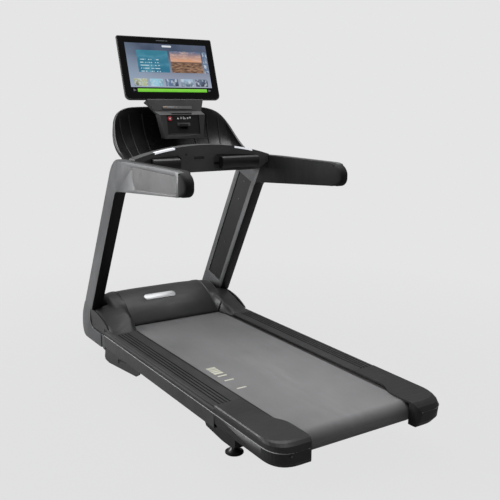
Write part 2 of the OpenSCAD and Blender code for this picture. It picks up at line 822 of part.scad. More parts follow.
// Places children on the slide line of the lift screw: local -Z runs down towards the lift frame
module on_lift_line() translate([0, top_y, top_z]) rotate([-push_tilt, 0, 0]) children();

module lift_motor() {
    color("#47494b") from_rear() on_lift_line() {
        difference() {
            union() {
                translate([0, 0, -206]) cylinder(h = 196, r = tube_r);
                translate([-22, -22, -34]) cube([44, 78, 40]);
                translate([0, 36, -150]) cylinder(h = 118, r = 21);
                rotate([0, 90, 0]) cylinder(h = 2 * tower_x - 2, r = 14, center = true);
            }
            translate([0, 0, -207]) cylinder(h = 188, r = 9 + running);
        }
        rotate([0, 90, 0]) cylinder(h = 2 * (tower_x + tower_t) + 8, r = push_r, center = true);
    }
}

module lift_screw() {
    color("#b0b3b6") from_rear() on_lift_line() {
        translate([0, 0, -screw_len + eye_r + 3]) cylinder(h = screw_len - eye_r - 26, r = 9);
        translate([0, 0, -screw_len]) rotate([0, 90, 0]) difference() {
            cylinder(h = 24, r = eye_r + 6, center = true);
            cylinder(h = 26, r = eye_r, center = true);
        }
    }
}

// ---------------------------------------------------------------- uprights

// Side outline of the ribbon from the seam above the elbow to the tip of the handlebar
module ribbon_outline() {
    front_top = [upright_front(handle_top), handle_top];
    run = corner_r * tan(lean / 2);
    centre = front_top + [-run, -corner_r];
    tip_z = handle_top - 0.58 * handle_h;
    under_y = upright_rear(handle_top - 152) + 3;
    polygon(concat(
        [[upright_rear(seam_z), seam_z]],
        [[upright_rear(handle_top - 176), handle_top - 176]],
        curve([upright_rear(handle_top - 176), handle_top - 176], [under_y - 3, handle_top - 152],
              [under_y - 30, handle_top - 150], 6),
        [[handle_end_y + 82, handle_top - handle_h]],
        curve([handle_end_y + 82, handle_top - handle_h], [handle_end_y + 6, handle_top - handle_h],
              [handle_end_y, tip_z], 8),
        curve([handle_end_y, tip_z], [handle_end_y + 14, handle_top - 2], [handle_end_y + 96, handle_top], 8),
        [for (p = arc(centre, corner_r, 90, 90 - lean)) p],
        [[upright_front(seam_z), seam_z]]
    ));
}

// Cross-section of the ribbon in (x, depth), swept along the upright; it is straight behind the rear face
module ribbon_section() {
    polygon([
        [ribbon_in, -900], [ribbon_out, -900], [ribbon_out, 0], [ribbon_out - toe_in, upright_d],
        [ribbon_out - toe_in, upright_d + 40], [ribbon_in - toe_in, upright_d + 40],
        [ribbon_in - toe_in, upright_d], [ribbon_in, 0]
    ]);
}

// Sweeps a cross-section along the upright's own direction
module along_upright(z0, z1) {
    translate([0, upright_y, upright_ref]) rotate([90 - lean, 0, 0]) translate([0, 0, z0])
        linear_extrude(z1 - z0) children();
}

// Plan outline that rounds the free end of the handlebar
module tip_plan() {
    polygon(concat(
        [[0, total_l + 300], [ribbon_out + 20, total_l + 300], [ribbon_out + 20, handle_end_y + 90],
         [ribbon_out, handle_end_y + 90]],
        curve([ribbon_out, handle_end_y + 90], [ribbon_out, handle_end_y], [ribbon_in + 24, handle_end_y]),
        curve([ribbon_in + 24, handle_end_y], [ribbon_in, handle_end_y], [ribbon_in, handle_end_y + 34], 5),
        [[0, handle_end_y + 34]]
    ));
}

module ribbon() {
    intersection() {
        yz(0, ribbon_out + 20) ribbon_outline();
        along_upright(-1400, 700) ribbon_section();
        xy(200, handle_top + 60) tip_plan();
    }
}

function ribbon_in_at(u) = ribbon_in - toe_in * u / upright_d;

// Inner side channel of an upright, between two depths, from x offset d0 to d1 behind the inner face
module channel(u0, u1, d0, d1) {
    polygon([
        [ribbon_in_at(u0) + d0, u0], [ribbon_in_at(u0) + d1, u0],
        [ribbon_in_at(u1) + d1, u1], [ribbon_in_at(u1) + d0, u1]
    ]);
}

cover_low = -620;
cover_high = 96;

// Region of the handlebar that belongs to the soft grip: its inner half and its free end
module grip_region() {
    yz(0, grip_x) polygon([
        [0, handle_top - 300], [upright_rear(handle_top - 300) - 1, handle_top - 300],
        [upright_rear(handle_top + 100) - 1, handle_top + 100], [0, handle_top + 100]
    ]);
    box([0, 0, handle_top - 300], [ribbon_out + 20, grip_cap_y, handle_top + 100]);
}

module inlay_outline(t) {
    low = handle_top - handle_h + 4;
    rear = grip_cap_y + 18;
    front = rear + 430;
    polygon(concat(
        [[rear + 14 + t, handle_top - 22 - t]],
        curve([rear + 14 + t, handle_top - 22 - t], [rear + t, handle_top - 30], [rear + t, handle_top - 50], 6),
        [[rear + t, low + 26]],
        curve([rear + t, low + 26], [rear + t, low + 6 + t], [rear + 30, low + 2 + t], 6),
        [[front - 40, low - 16 + t]],
        curve([front - 40, low - 16 + t], [front - 8 - t, low - 18 + t], [front - t, low + 30], 6),
        [[front + 6 - t, handle_top - 34]],
        curve([front + 6 - t, handle_top - 34], [front + 6 - t, handle_top - 22 - t],
              [front - 8, handle_top - 20 - t], 6)
    ));
}

module upright() {
    difference() {
        ribbon();
        grip_region();
        along_upright(cover_low, cover_high) channel(cover_in, upright_d - cover_in, -40, cover_depth);
        yz(ribbon_out - inlay_t - 0.6, ribbon_out + 1) inlay_outline(0);
    }
}

module left_upright() color("#77797c") from_rear() left_side() upright();
module right_upright() color("#77797c") from_rear() upright();

module upright_cover() {
    along_upright(cover_low + 1, cover_high - 1)
        channel(cover_in + 0.2, upright_d - cover_in - 0.2, cover_inset, cover_inset + cover_t);
    // Stand-offs to the floor of the channel
    for (z = [cover_low + 60, (cover_low + cover_high) / 2, cover_high - 60])
        along_upright(z - 12, z + 12)
            channel(upright_d / 2 - 10, upright_d / 2 + 10, cover_inset + cover_t - eps, cover_depth);
}

module left_upright_cover() color("#2e3032") from_rear() left_side() upright_cover();
module right_upright_cover() color("#2e3032") from_rear() upright_cover();

module grip() {
    intersection() {
        ribbon();
        grip_region();
    }
}

module left_grip() color("#242526") from_rear() left_side() grip();
module right_grip() color("#242526") from_rear() grip();

module grip_inlays() {
    color("#8a8c8f") from_rear() both_sides()
        yz(ribbon_out - inlay_t - 0.6, ribbon_out - 0.6) inlay_outline(0.6);
}

elbow_r = 90;

module elbow_outline() {
    nose = [upright_front(elbow_bottom), elbow_bottom];
    run = elbow_r / tan(lean / 2);
    centre = nose + [-run, elbow_r];
    polygon(concat(
        [[rail_front, elbow_bottom]],
        [for (p = arc(centre, elbow_r, -90, 90 - lean, 16)) p],
        [[upright_front(seam_z), seam_z], [upright_rear(seam_z) + 34, seam_z]],
        curve([upright_rear(seam_z) + 34, seam_z], [upright_rear(seam_z) + 38, panel_top],
              [upright_rear(seam_z) - 16, panel_top - 2], 8),
        [[rail_front, panel_top - 3]]
    ));
}

module elbow() {
    difference() {
        intersection() {
            yz(0, ribbon_out + 20) elbow_outline();
            along_upright(-1500, 700) ribbon_section();
        }
        box([0, 0, 0], [beam_out, total_l + 400, beam_top]);
        // Step down to the flush side panel
        box([side_x, 0, 0], [ribbon_out + 1, rail_front + 40, seam_z]);
    }
}

module left_elbow() color("#6b6d70") from_rear() left_side() elbow();
module right_elbow() color("#6b6d70") from_rear() elbow();

module side_plate_outline() {
    foot = upright_rear(seam_z) - 214;
    polygon(concat(
        [[foot, panel_top + 1.5], [upright_rear(seam_z) + 60, panel_top + 1.5],
         [upright_rear(seam_z) + 40, seam_z], [upright_rear(seam_z), seam_z]],
        curve([upright_rear(seam_z), seam_z], [upright_rear(seam_z) - 120, seam_z - 6],
              [foot, rail_top + 1], 8)
    ));
}

module side_plates() {
    color("#515356") from_rear() both_sides() difference() {
        union() {
            yz(wing_x + 0.5, side_x - 1) side_plate_outline();
            // Return that closes the space behind the foot of the upright
            intersection() {
                yz(beam_out + 1, wing_x + 1) side_plate_outline();
                upright_space();
            }
        }
        box([0, 0, 0], [side_x + 1, rail_front, rail_top + 1.6]);
        yz(0, ribbon_out + 20) elbow_outline();
    }
}

// ---------------------------------------------------------------- crossbar and tray

// Front outline of the crossbar: flat underneath, arched on top
module bar_outline() {
    span = bar_half;
    arch_r = (span * span + (bar_rise - bar_drop) * (bar_rise - bar_drop)) / (2 * (bar_rise - bar_drop));
    half_a = asin(span / arch_r);
    polygon(concat(
        [[-span, bar_bottom + 40], [-span + 60, bar_bottom + 2], [-span + 110, bar_bottom],
         [span - 110, bar_bottom], [span - 60, bar_bottom + 2], [span, bar_bottom + 40]],
        arc([0, handle_top + bar_rise - arch_r], arch_r, 90 - half_a, 90 + half_a, 24)
    ));
}

// Pivot pocket of a paddle, and the shallow recess round it
module paddle_pocket(x, w) {
    box([x - 34, bar_rear - 1, paddle_z - 17], [x + 34, bar_rear + 30, paddle_z + 17]);
    xrod(pivot_r + running, x - 44, x + 44, pivot_y, paddle_z);
    xz(bar_rear - 1, bar_rear + 9) polygon([
        [x - w / 2 - 26, paddle_z - 24], [x - w / 2 - 14, paddle_z - 36], [x + w / 2 + 22, paddle_z - 36],
        [x + w / 2 + 30, paddle_z + 14], [x + w / 2 - 10, paddle_z + 30], [x - w / 2 - 12, paddle_z + 38],
        [x - w / 2 - 26, paddle_z + 24]
    ]);
}

// Strip of the arched top, between two x positions, sunk by depth
module arch_strip(x0, x1, depth, y0, y1) {
    intersection() {
        xz(y0, y1) difference() {
            bar_outline();
            translate([0, -depth]) bar_outline();
        }
        box([x0, y0 - 1, bar_bottom], [x1, y1 + 1, handle_top + bar_rise + 5]);
    }
}

sensor_x0 = 168;
sensor_x1 = 276;

module crossbar() {
    color("#3c3e40") from_rear() difference() {
        xz(bar_rear, bar_front) bar_outline();
        both_sides() {
            ribbon();
            arch_strip(sensor_x0, sensor_x1, 9, bar_rear - 1, bar_rear + 26);
        }
        paddle_pocket(paddle_x, paddle_w);
        left_side() paddle_pocket(left_paddle_x, left_paddle_w);
    }
}

module pulse_sensors() {
    color("#e8e9ea") from_rear() both_sides()
        arch_strip(sensor_x0 + 0.3, sensor_x1 - 0.3, 9, bar_rear, bar_rear + 25.7);
}

module paddle(x, w) {
    yz(x - w / 2, x + w / 2) polygon(concat(
        [[bar_rear - 8, paddle_z + 24], [bar_rear - 8, paddle_z - 28], [bar_rear - 34, paddle_z - 30]],
        curve([bar_rear - 34, paddle_z - 30], [bar_rear - 58, paddle_z - 8], [bar_rear - 44, paddle_z + 20], 8),
        curve([bar_rear - 44, paddle_z + 20], [bar_rear - 38, paddle_z + 28], [bar_rear - 22, paddle_z + 28], 4)
    ));
    box([x - 30, bar_rear - 9, paddle_z - 7], [x + 30, pivot_y, paddle_z + 7]);
    xrod(8, x - 30, x + 30, pivot_y, paddle_z);
    xrod(pivot_r, x - 43, x + 43, pivot_y, paddle_z);
}

module left_paddle() color("#2d2f31") from_rear() left_side() paddle(left_paddle_x, left_paddle_w);
module right_paddle() color("#2d2f31") from_rear() paddle(paddle_x, paddle_w);

// Front outline of the tray, drawn t inside its outer edge
module tray_outline(t) {
    wide = ribbon_in - 3;
    polygon(concat(
        [[-tray_low + t, tray_floor - 6 + t], [tray_low - t, tray_floor - 6 + t],
         [tray_low - t, handle_top + t], [wide - t, handle_top + t],
         [wide - 10 - t, handle_top + 50]],
        curve([wide - 10 - t, handle_top + 50], [wide - 34 - t, tray_top - t], [wide - 150, tray_top - t], 12),
        [[-wide + 150, tray_top - t]],
        curve([-wide + 150, tray_top - t], [-wide + 34 + t, tray_top - t], [-wide + 10 + t, handle_top + 50], 12),
        [[-wide + t, handle_top + t], [-tray_low + t, handle_top + t]]
    ));
}

// Side outline of everything above the sloping rim of the tray
module above_rim() {
    low = [tray_rear + 40, handle_top + 4];
    mid = [tray_rear + 178, handle_top + 40];
    high = [tray_front - 53, tray_top + 1];
    yz(-ribbon_out, ribbon_out) polygon(concat(
        [[tray_rear - 20, handle_top + 3], low],
        curve(low, [tray_rear + 120, handle_top + 6], mid, 8),
        curve(mid, [tray_front - 84, tray_top - 84], high, 10),
        [[tray_front - 50, tray_top + 60], [tray_rear - 20, tray_top + 60]]
    ));
}

// Plan outline of the tray with wide rounded front corners
module tray_plan(t) {
    half = ribbon_in - 3 - t;
    right = concat(
        [[half, tray_rear - 5], [half, tray_rear + 92]],
        curve([half, tray_rear + 92], [half + 4, tray_rear + 250 - t], [half - 36, tray_front - 78 - t], 10),
        curve([half - 36, tray_front - 78 - t], [half - 66, tray_front - t], [half - 170, tray_front - t], 10)
    );
    polygon(concat(right, [for (i = [len(right) - 1:-1:0]) [-right[i][0], right[i][1]]]));
}

// Body of the tray, drawn t inside its outer faces and open towards the crossbar
module tray_body(t) {
    intersection() {
        xz(tray_rear - (t > 0 ? 1 : 0), tray_front) tray_outline(t);
        xy(tray_floor - 20, tray_top + 20) tray_plan(t);
        yz(-ribbon_out, ribbon_out) polygon([
            [tray_rear - 5, tray_floor - 10], [tray_front - 118 - t, tray_floor - 10],
            [tray_front - 10 - t, handle_top + 172], [tray_front - t, tray_top + 20], [tray_rear - 5, tray_top + 20]
        ]);
    }
}

module console_tray() {
    color("#1e1f20") from_rear() difference() {
        tray_body(0);
        tray_body(tray_t);
        above_rim();
        for (x = [-cup_x, cup_x])
            translate([x, cup_y, tray_floor - 20]) cylinder(h = 40, r = cup_r + cup_wall + 0.2);
    }
}

module bottle_cups() {
    color("#191a1b") from_rear() for (x = [-cup_x, cup_x])
        translate([x, cup_y, tray_floor + 12 - cup_depth]) difference() {
            union() {
                cylinder(h = cup_depth, r = cup_r + cup_wall);
                translate([0, 0, cup_depth - 8]) cylinder(h = 8, r = cup_r + cup_wall + 4);
            }
            translate([0, 0, cup_wall]) cylinder(h = cup_depth, r = cup_r);
        }
}

// ---------------------------------------------------------------- neck, keypad and display

// Places children in the plane of the display: local Z runs up the screen, local Y away from the runner
module on_display() translate([0, display_y, display_z]) rotate([-display_tilt, 0, 0]) children();

// Places children on the recessed keypad face
module on_panel() translate([0, neck_y + 12, panel_z]) rotate([-panel_tilt, 0, 0]) children();

module neck_side() {
    polygon([
        [neck_y, neck_z], [neck_y + 20.5, neck_z + 120], [neck_y + 75, neck_z + 136],
        [neck_y + 100, display_z + 1], [neck_y + 130, display_z + 30],
        [neck_y + 185, display_z + 30], [neck_y + 168, display_z - 14], [neck_y + 120, neck_z + 158],
        [neck_y + 74, neck_z + 122], [neck_y + 52, neck_z]
    ]);
}

module neck_front() {
    polygon(concat(
        [[108, neck_z - 2], [130, neck_z + 121]],
        curve([130, neck_z + 121], [150, neck_z + 160], [178, display_z + 40], 8),
        curve([-178, display_z + 40], [-150, neck_z + 160], [-130, neck_z + 121], 8),
        [[-108, neck_z - 2]]
    ));
}

module console_neck() {
    color("#3a3c3e") from_rear() {
        difference() {
            union() {
                intersection() {
                    yz(-200, 200) neck_side();
                    xz(neck_y - 5, tray_front) neck_front();
                }
                // Stalk from the front wall of the tray
                intersection() {
                    box([-56, neck_y + 30, neck_z + 6], [56, tray_front, tray_top - 24]);
                    tray_body(tray_t);
                }
            }
            on_display() box([-300, -80, 0], [300, 200, 300]);
            // Recess of the keypad
            on_panel() box([-panel_w / 2 - 0.5, -40, -0.5], [panel_w / 2 + 0.5, 0, panel_h + 0.5]);
            // Room behind the keypad for the button stem and the key socket
            on_panel() translate([button_x, -1, button_z - panel_z]) rotate([-90, 0, 0])
                cylinder(h = 22, r = button_r + 4);
            on_panel() box([-32, -1, 22], [32, 24, 54]);
        }
        // Spine that carries the display from behind
        on_display() box([-70, display_t, -16], [70, display_t + 20, display_h * 0.45]);
    }
}

module keypad_panel() {
    color("#202224") from_rear() on_panel() difference() {
        box([-panel_w / 2, -panel_deep + 4, 0], [panel_w / 2, 0, panel_h]);
        translate([button_x, -10, button_z - panel_z]) rotate([-90, 0, 0]) cylinder(h = 20, r = button_r + gap);
        box([-30, -10, 24], [30, 10, 52]);
    }
}

module stop_button() {
    color("#c62a3a") from_rear() on_panel() translate([button_x, 0, button_z - panel_z]) rotate([-90, 0, 0]) {
        translate([0, 0, -button_travel - 5]) cylinder(h = button_travel + 6, r = button_r);
        translate([0, 0, gap]) cylinder(h = 3, r = button_r + 3);
    }
}

module safety_key_socket() {
    color("#0f0f10") from_rear() on_panel() difference() {
        union() {
            box([-29.5, -panel_deep + 2, 24.5], [29.5, 24, 51.5]);
            box([-22, -panel_deep - 8, 40], [22, -panel_deep + 2 + eps, 51.5]);
        }
        box([-24, -panel_deep - 1, 28], [24, 20, 38]);
    }
}

module display_outline(t) {
    half = display_w / 2 - t;
    low_r = 26;
    high_r = 8;
    polygon(concat(
        arc([half - low_r, low_r + t], low_r, -90, 0, 8),
        arc([half - high_r, display_h - high_r - t], high_r, 0, 90, 6),
        arc([-half + high_r, display_h - high_r - t], high_r, 90, 180, 6),
        arc([-half + low_r, low_r + t], low_r, 180, 270, 8)
    ));
}

module display_housing() {
    color("#2b2c2e") from_rear() on_display() difference() {
        union() {
            xz(0, 11) display_outline(0);
            xz(10, 20) display_outline(14);
            xz(19, display_t) display_outline(34);
        }
        xz(-1, glass_t) display_outline(4);
    }
}

module display_glass() {
    color("#0c0d0f") from_rear() on_display() xz(0.2, glass_t) display_outline(4.4);
}

// ---------------------------------------------------------------- small screws

module cover_screws() {
    color("#6d6f72") from_rear() both_sides() {
        // Four on each upright cover
        for (z = [cover_low + 24, cover_low + 260, cover_high - 150, cover_high - 30])
            translate([0, upright_y, upright_ref]) rotate([90 - lean, 0, 0])
                translate([ribbon_in_at(upright_d / 2) + cover_inset, upright_d / 2, z])
                    rotate([0, 0, toe_a]) rotate([0, -90, 0]) cylinder(h = 2, r = screw_r);
        // One on each side plate
        translate([side_x - 1, upright_rear(seam_z) - 34, panel_top + 22]) rotate([0, 90, 0])
            cylinder(h = 1.6, r = screw_r);
        // One on the rear face of each end cap
        yrod(screw_r, 2.6, 4.5, cap_screw_x, panel_top - 14);
    }
}

// ---------------------------------------------------------------- assembly

left_side_beam();
right_side_beam();
cross_members();
deck_board();
deck_cushions();
running_belt();
roller_axles();
roller_bearings();
axle_bolts();
left_foot_rail();
right_foot_rail();
left_side_panel();
right_side_panel();
left_end_cap();
right_end_cap();
foot_brackets();
lift_brackets();
drive_motor();
drive_belt();
control_box();
belly_pan();
motor_hood();
hood_badge();
left_elbow();
right_elbow();
left_upright();
right_upright();
left_upright_cover();
right_upright_cover();
left_grip();
right_grip();
grip_inlays();
crossbar();
pulse_sensors();
console_tray();
bottle_cups();
console_neck();
keypad_panel();
safety_key_socket();
display_housing();
display_glass();
power_inlet();
cover_screws();
side_plates();
lift_motor();
front_roller();
rear_roller();
motor_shaft();
motor_pulley();
motor_flywheel();
lift_frame();
left_lift_wheel();
right_lift_wheel();
lift_screw();
left_paddle();
right_paddle();
stop_button();
power_switch();
left_rear_foot();
right_rear_foot();
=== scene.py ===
import bpy, bmesh, json, math
from mathutils import Matrix, Vector


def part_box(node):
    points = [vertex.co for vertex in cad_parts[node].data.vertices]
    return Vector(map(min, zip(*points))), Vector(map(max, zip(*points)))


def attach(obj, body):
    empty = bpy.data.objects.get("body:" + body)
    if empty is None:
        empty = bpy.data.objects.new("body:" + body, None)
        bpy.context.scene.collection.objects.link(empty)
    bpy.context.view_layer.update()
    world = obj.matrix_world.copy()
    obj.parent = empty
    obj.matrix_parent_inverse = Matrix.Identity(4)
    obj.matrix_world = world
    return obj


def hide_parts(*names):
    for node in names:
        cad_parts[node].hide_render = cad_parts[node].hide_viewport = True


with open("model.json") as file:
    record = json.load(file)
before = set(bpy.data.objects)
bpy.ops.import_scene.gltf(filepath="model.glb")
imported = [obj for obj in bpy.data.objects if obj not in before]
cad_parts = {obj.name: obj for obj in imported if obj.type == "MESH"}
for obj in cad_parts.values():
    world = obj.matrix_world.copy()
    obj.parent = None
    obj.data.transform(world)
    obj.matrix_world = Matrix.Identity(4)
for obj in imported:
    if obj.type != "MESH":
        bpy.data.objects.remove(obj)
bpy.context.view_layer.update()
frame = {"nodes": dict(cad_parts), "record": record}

nodes = frame["nodes"]
scene = bpy.context.scene

# ------------------------------------------------------------------ camera
stand = Vector((-1.7946, -2.955, 1.4451))
yaw, pitch, roll = math.radians(-33.02), math.radians(11.78), math.radians(0.37)
look = Vector((-math.sin(yaw) * math.cos(pitch), math.cos(yaw) * math.cos(pitch), -math.sin(pitch)))
side = Vector((math.cos(yaw), math.sin(yaw), 0))
over = side.cross(look)
right = side * math.cos(roll) + over * math.sin(roll)
upward = over * math.cos(roll) - side * math.sin(roll)
camera_data = bpy.data.cameras.new("camera")
camera_data.lens = 52.65
camera_data.sensor_width = 36
camera = bpy.data.objects.new("camera", camera_data)
scene.collection.objects.link(camera)
camera.matrix_world = Matrix((
    (right.x, upward.x, -look.x, stand.x),
    (right.y, upward.y, -look.y, stand.y),
    (right.z, upward.z, -look.z, stand.z),
    (0, 0, 0, 1)))
scene.camera = camera


# --------------------------------------------------------------- materials
def grey(v):
    return (v, v, v * 1.02, 1)


class Graph:
    """A node material under construction."""

    def __init__(self, name):
        self.mat = bpy.data.materials.new(name)
        self.mat.use_nodes = True
        self.tree = self.mat.node_tree
        self.bsdf = self.tree.nodes["Principled BSDF"]
        self.coord = self.tree.nodes.new("ShaderNodeTexCoord").outputs["Object"]

    def link(self, a, b):
        self.tree.links.new(a, b)

    def node(self, kind, **values):
        n = self.tree.nodes.new(kind)
        for key, value in values.items():
            if key in n.inputs.keys():
                n.inputs[key].default_value = value
            else:
                setattr(n, key, value)
        return n

    def stretched(self, scale):
        m = self.node("ShaderNodeMapping")
        m.inputs["Scale"].default_value = scale
        self.link(self.coord, m.inputs["Vector"])
        return m.outputs["Vector"]

    def noise(self, scale, detail=3, rough=0.5, stretch=(1, 1, 1)):
        n = self.node("ShaderNodeTexNoise", Scale=scale, Detail=detail, Roughness=rough)
        self.link(self.stretched(stretch), n.inputs["Vector"])
        return n.outputs["Fac"]

    def remap(self, value, low, high, a=0.3, b=0.7):
        m = self.node("ShaderNodeMapRange")
        for i, v in enumerate((a, b, low, high)):
            m.inputs[i + 1].default_value = v
        self.link(value, m.inputs[0])
        return m.outputs[0]

    def math(self, op, a, b=0.0, c=0.0):
        m = self.node("ShaderNodeMath", operation=op)
        for i, v in enumerate((a, b, c)):
            if isinstance(v, (int, float)):
                m.inputs[i].default_value = v
            else:
                self.link(v, m.inputs[i])
        return m.outputs[0]

    def mix(self, factor, a, b):
        m = self.node("ShaderNodeMix", data_type="RGBA")
        for socket, v in ((m.inputs[0], factor), (m.inputs[6], a), (m.inputs[7], b)):
            if isinstance(v, (int, float, tuple)):
                socket.default_value = v
            else:
                self.link(v, socket)
        return m.outputs[2]

    def bump(self, height, strength, distance):
        b = self.node("ShaderNodeBump", Strength=strength, Distance=distance)
        self.link(height, b.inputs["Height"])
        previous = self.bsdf.inputs["Normal"]
        if previous.is_linked:
            self.link(previous.links[0].from_socket, b.inputs["Normal"])
        self.link(b.outputs["Normal"], self.bsdf.inputs["Normal"])

    def split(self, vector):
        s = self.node("ShaderNodeSeparateXYZ")
        self.link(vector, s.inputs[0])
        return s.outputs

    def where(self):
        return self.split(self.coord)

    def facing(self):
        """Components of the surface normal."""
        return self.split(self.node("ShaderNodeNewGeometry").outputs["Normal"])


def finish_of(name, colour, rough, metal=0.0, grain=700, depth=0.00006, coat=0.0, spread=0.18,
              stretch=(1, 1, 1), rough_spread=0.07, dust=0.25, coarse=0.0, shine=0.5, rear=None):
    """Moulded, painted or cast surface: mottled colour, uneven gloss, fine grain and a little dust on top.

    rear is the grey of faces that look backwards, away from the key light: painted shade.
    """
    g = Graph(name)
    base = colour if isinstance(colour, tuple) else grey(colour)
    dark = tuple(c * (1 - spread) for c in base[:3]) + (1,)
    light = tuple(min(1, c * (1 + spread)) for c in base[:3]) + (1,)
    cloud = g.noise(5.5, 5, 0.6)
    tone = g.mix(g.remap(cloud, 0, 1, 0.35, 0.65), dark, light)
    fleck = g.noise(grain * 0.35, 2, 0.5, stretch)
    tone = g.mix(g.remap(fleck, 0, 0.35, 0.45, 0.75), tone, light)
    if dust:
        flat = g.remap(g.facing()[2], 0, dust, 0.6, 1.0)
        patch = g.math("MULTIPLY", flat, g.remap(g.noise(28, 6, 0.65), 0.2, 1, 0.4, 0.65))
        tone = g.mix(patch, tone, tuple(min(1, c * 1.7 + 0.02) for c in base[:3]) + (1,))
    # Darker grey on faces that look backwards: painted shade.
    if rear:
        tone = g.mix(g.remap(g.facing()[1], 1, 0, -0.65, -0.35), tone, grey(rear))
    g.link(tone, g.bsdf.inputs["Base Color"])
    smear = g.noise(16, 4, 0.6, (1, 2.5, 1))
    g.link(g.remap(smear, rough - rough_spread, rough + rough_spread), g.bsdf.inputs["Roughness"])
    g.bsdf.inputs["Metallic"].default_value = metal
    g.bsdf.inputs["Coat Weight"].default_value = coat
    g.bsdf.inputs["Coat Roughness"].default_value = 0.18
    g.bsdf.inputs["Specular IOR Level"].default_value = shine
    if coarse:
        g.bump(g.noise(60, 3), 0.12, coarse)
    g.bump(g.noise(grain, 2, 0.6, stretch), 0.5, depth)
    return g.mat


def brushed(name, colour, rough, axis=0, metal=1.0, glow=0.0):
    """Drawn or brushed metal with long fine scratches along one axis; glow is an emission from within, a painted
    highlight.
    """
    g = Graph(name)
    stretch = [1.0, 1.0, 1.0]
    stretch[axis] = 0.02
    lines = g.noise(1600, 3, 0.6, tuple(stretch))
    tone = g.mix(g.remap(lines, 0, 1), tuple(c * 0.8 for c in colour) + (1,), colour + (1,))
    g.link(tone, g.bsdf.inputs["Base Color"])
    g.link(g.remap(lines, rough - 0.08, rough + 0.1), g.bsdf.inputs["Roughness"])
    g.bsdf.inputs["Metallic"].default_value = metal
    # Bluish-white emission of strength glow: painted highlight.
    g.bsdf.inputs["Emission Color"].default_value = (0.9, 0.93, 1.0, 1)
    g.bsdf.inputs["Emission Strength"].default_value = glow
    g.bump(lines, 0.25, 0.00003)
    return g.mat


def belt_material():
    """PVC belt: diamond micro-texture, lighter streaks towards the middle as a painted sheen of the lights, slightly
    polished in the middle.
    """
    g = Graph("belt_surface")
    x, y, z = g.where()
    wave_a = g.math("SINE", g.math("MULTIPLY", g.math("ADD", x, y), 1570.0))
    wave_b = g.math("SINE", g.math("MULTIPLY", g.math("SUBTRACT", x, y), 1570.0))
    diamond = g.math("MULTIPLY", wave_a, wave_b)
    lane = g.remap(g.math("ABSOLUTE", x), 1, 0, 0.02, 0.24)
    sheen_streaks = g.noise(30, 6, 0.7, (1, 0.12, 1))
    cloud = g.noise(4, 4, 0.5)
    tone = g.mix(g.remap(cloud, 0, 1), grey(0.165), grey(0.205))
    # Lighter streaks, strongest in the middle of the belt: painted sheen of the lights.
    tone = g.mix(g.math("MULTIPLY", lane, g.remap(sheen_streaks, 0, 0.8)), tone, grey(0.26))
    tone = g.mix(g.remap(diamond, 0, 0.3, -0.5, 1.0), tone, grey(0.09))
    # Dark outer edge of the belt: painted shade along the gap beside the rails
    edge = g.remap(g.math("ABSOLUTE", x), 0, 1, 0.2755, 0.2765)
    tone = g.mix(edge, tone, grey(0.05))
    g.link(tone, g.bsdf.inputs["Base Color"])
    g.link(g.remap(sheen_streaks, 0.5, 0.66), g.bsdf.inputs["Roughness"])
    g.bsdf.inputs["Specular IOR Level"].default_value = 0.45
    g.bump(diamond, 0.35, 0.00012)
    g.bump(g.noise(900, 2), 0.3, 0.00008)
    return g.mat


def rail_material():
    """Non-slip rail moulding: fine longitudinal tooth between the raised ribs, with painted shade at the foot of each
    rib.
    """
    g = Graph("rail_plastic")
    x, y, z = g.where()
    tooth = g.math("SINE", g.math("MULTIPLY", x, 1850.0))
    cloud = g.noise(7, 5, 0.6)
    tone = g.mix(g.remap(cloud, 0, 1), grey(0.040), grey(0.056))
    tone = g.mix(g.remap(tooth, 0, 0.3, -1, 1), tone, grey(0.030))
    scrape = g.noise(60, 5, 0.7, (1, 0.08, 1))
    tone = g.mix(g.remap(scrape, 0, 0.35, 0.55, 0.75), tone, grey(0.11))
    # Dark foot of each raised rib: painted shade in the crease, made wider on the right rail
    across = g.math("ABSOLUTE", x)
    phase = g.math("MODULO", g.math("SUBTRACT", across, 0.3425), 0.017)
    right_rail_shade_widening = g.math("MULTIPLY", g.math("GREATER_THAN", x, 0.0), 0.0021)
    foot = g.math("MULTIPLY", g.math("GREATER_THAN", phase, g.math("SUBTRACT", 0.0055, right_rail_shade_widening)),
                  g.math("LESS_THAN", phase, g.math("ADD", 0.0108, right_rail_shade_widening)))
    span = g.math("MULTIPLY", g.math("GREATER_THAN", across, 0.3425), g.math("LESS_THAN", across, 0.4085))
    reach = g.math("MULTIPLY", g.math("GREATER_THAN", y, -0.594), g.math("LESS_THAN", y, 0.427))
    foot = g.math("MULTIPLY", g.math("MULTIPLY", foot, span), reach)
    tone = g.mix(foot, tone, grey(0.008))
    g.link(tone, g.bsdf.inputs["Base Color"])
    g.link(g.math("ADD", g.remap(scrape, 0.44, 0.58), g.math("MULTIPLY", foot, 0.35)), g.bsdf.inputs["Roughness"])
    g.bsdf.inputs["Specular IOR Level"].default_value = 0.12
    g.bump(tooth, 0.25, 0.00016)
    g.bump(g.noise(1100, 2), 0.4, 0.00006)
    return g.mat


def wood_material():
    """Laminated deck: black phenolic film and sealed edges in which the plies still show."""
    g = Graph("deck_wood")
    x, y, z = g.where()
    ply = g.math("SINE", g.math("MULTIPLY", z, 3300.0))
    rings = g.noise(40, 6, 0.6, (6, 0.4, 1))
    tone = g.mix(g.remap(rings, 0, 1), (0.014, 0.012, 0.011, 1), (0.028, 0.024, 0.021, 1))
    tone = g.mix(g.remap(ply, 0, 0.6, -0.3, 0.6), tone, (0.008, 0.007, 0.006, 1))
    g.link(tone, g.bsdf.inputs["Base Color"])
    g.link(g.remap(rings, 0.45, 0.65), g.bsdf.inputs["Roughness"])
    g.bump(rings, 0.3, 0.0002)
    return g.mat


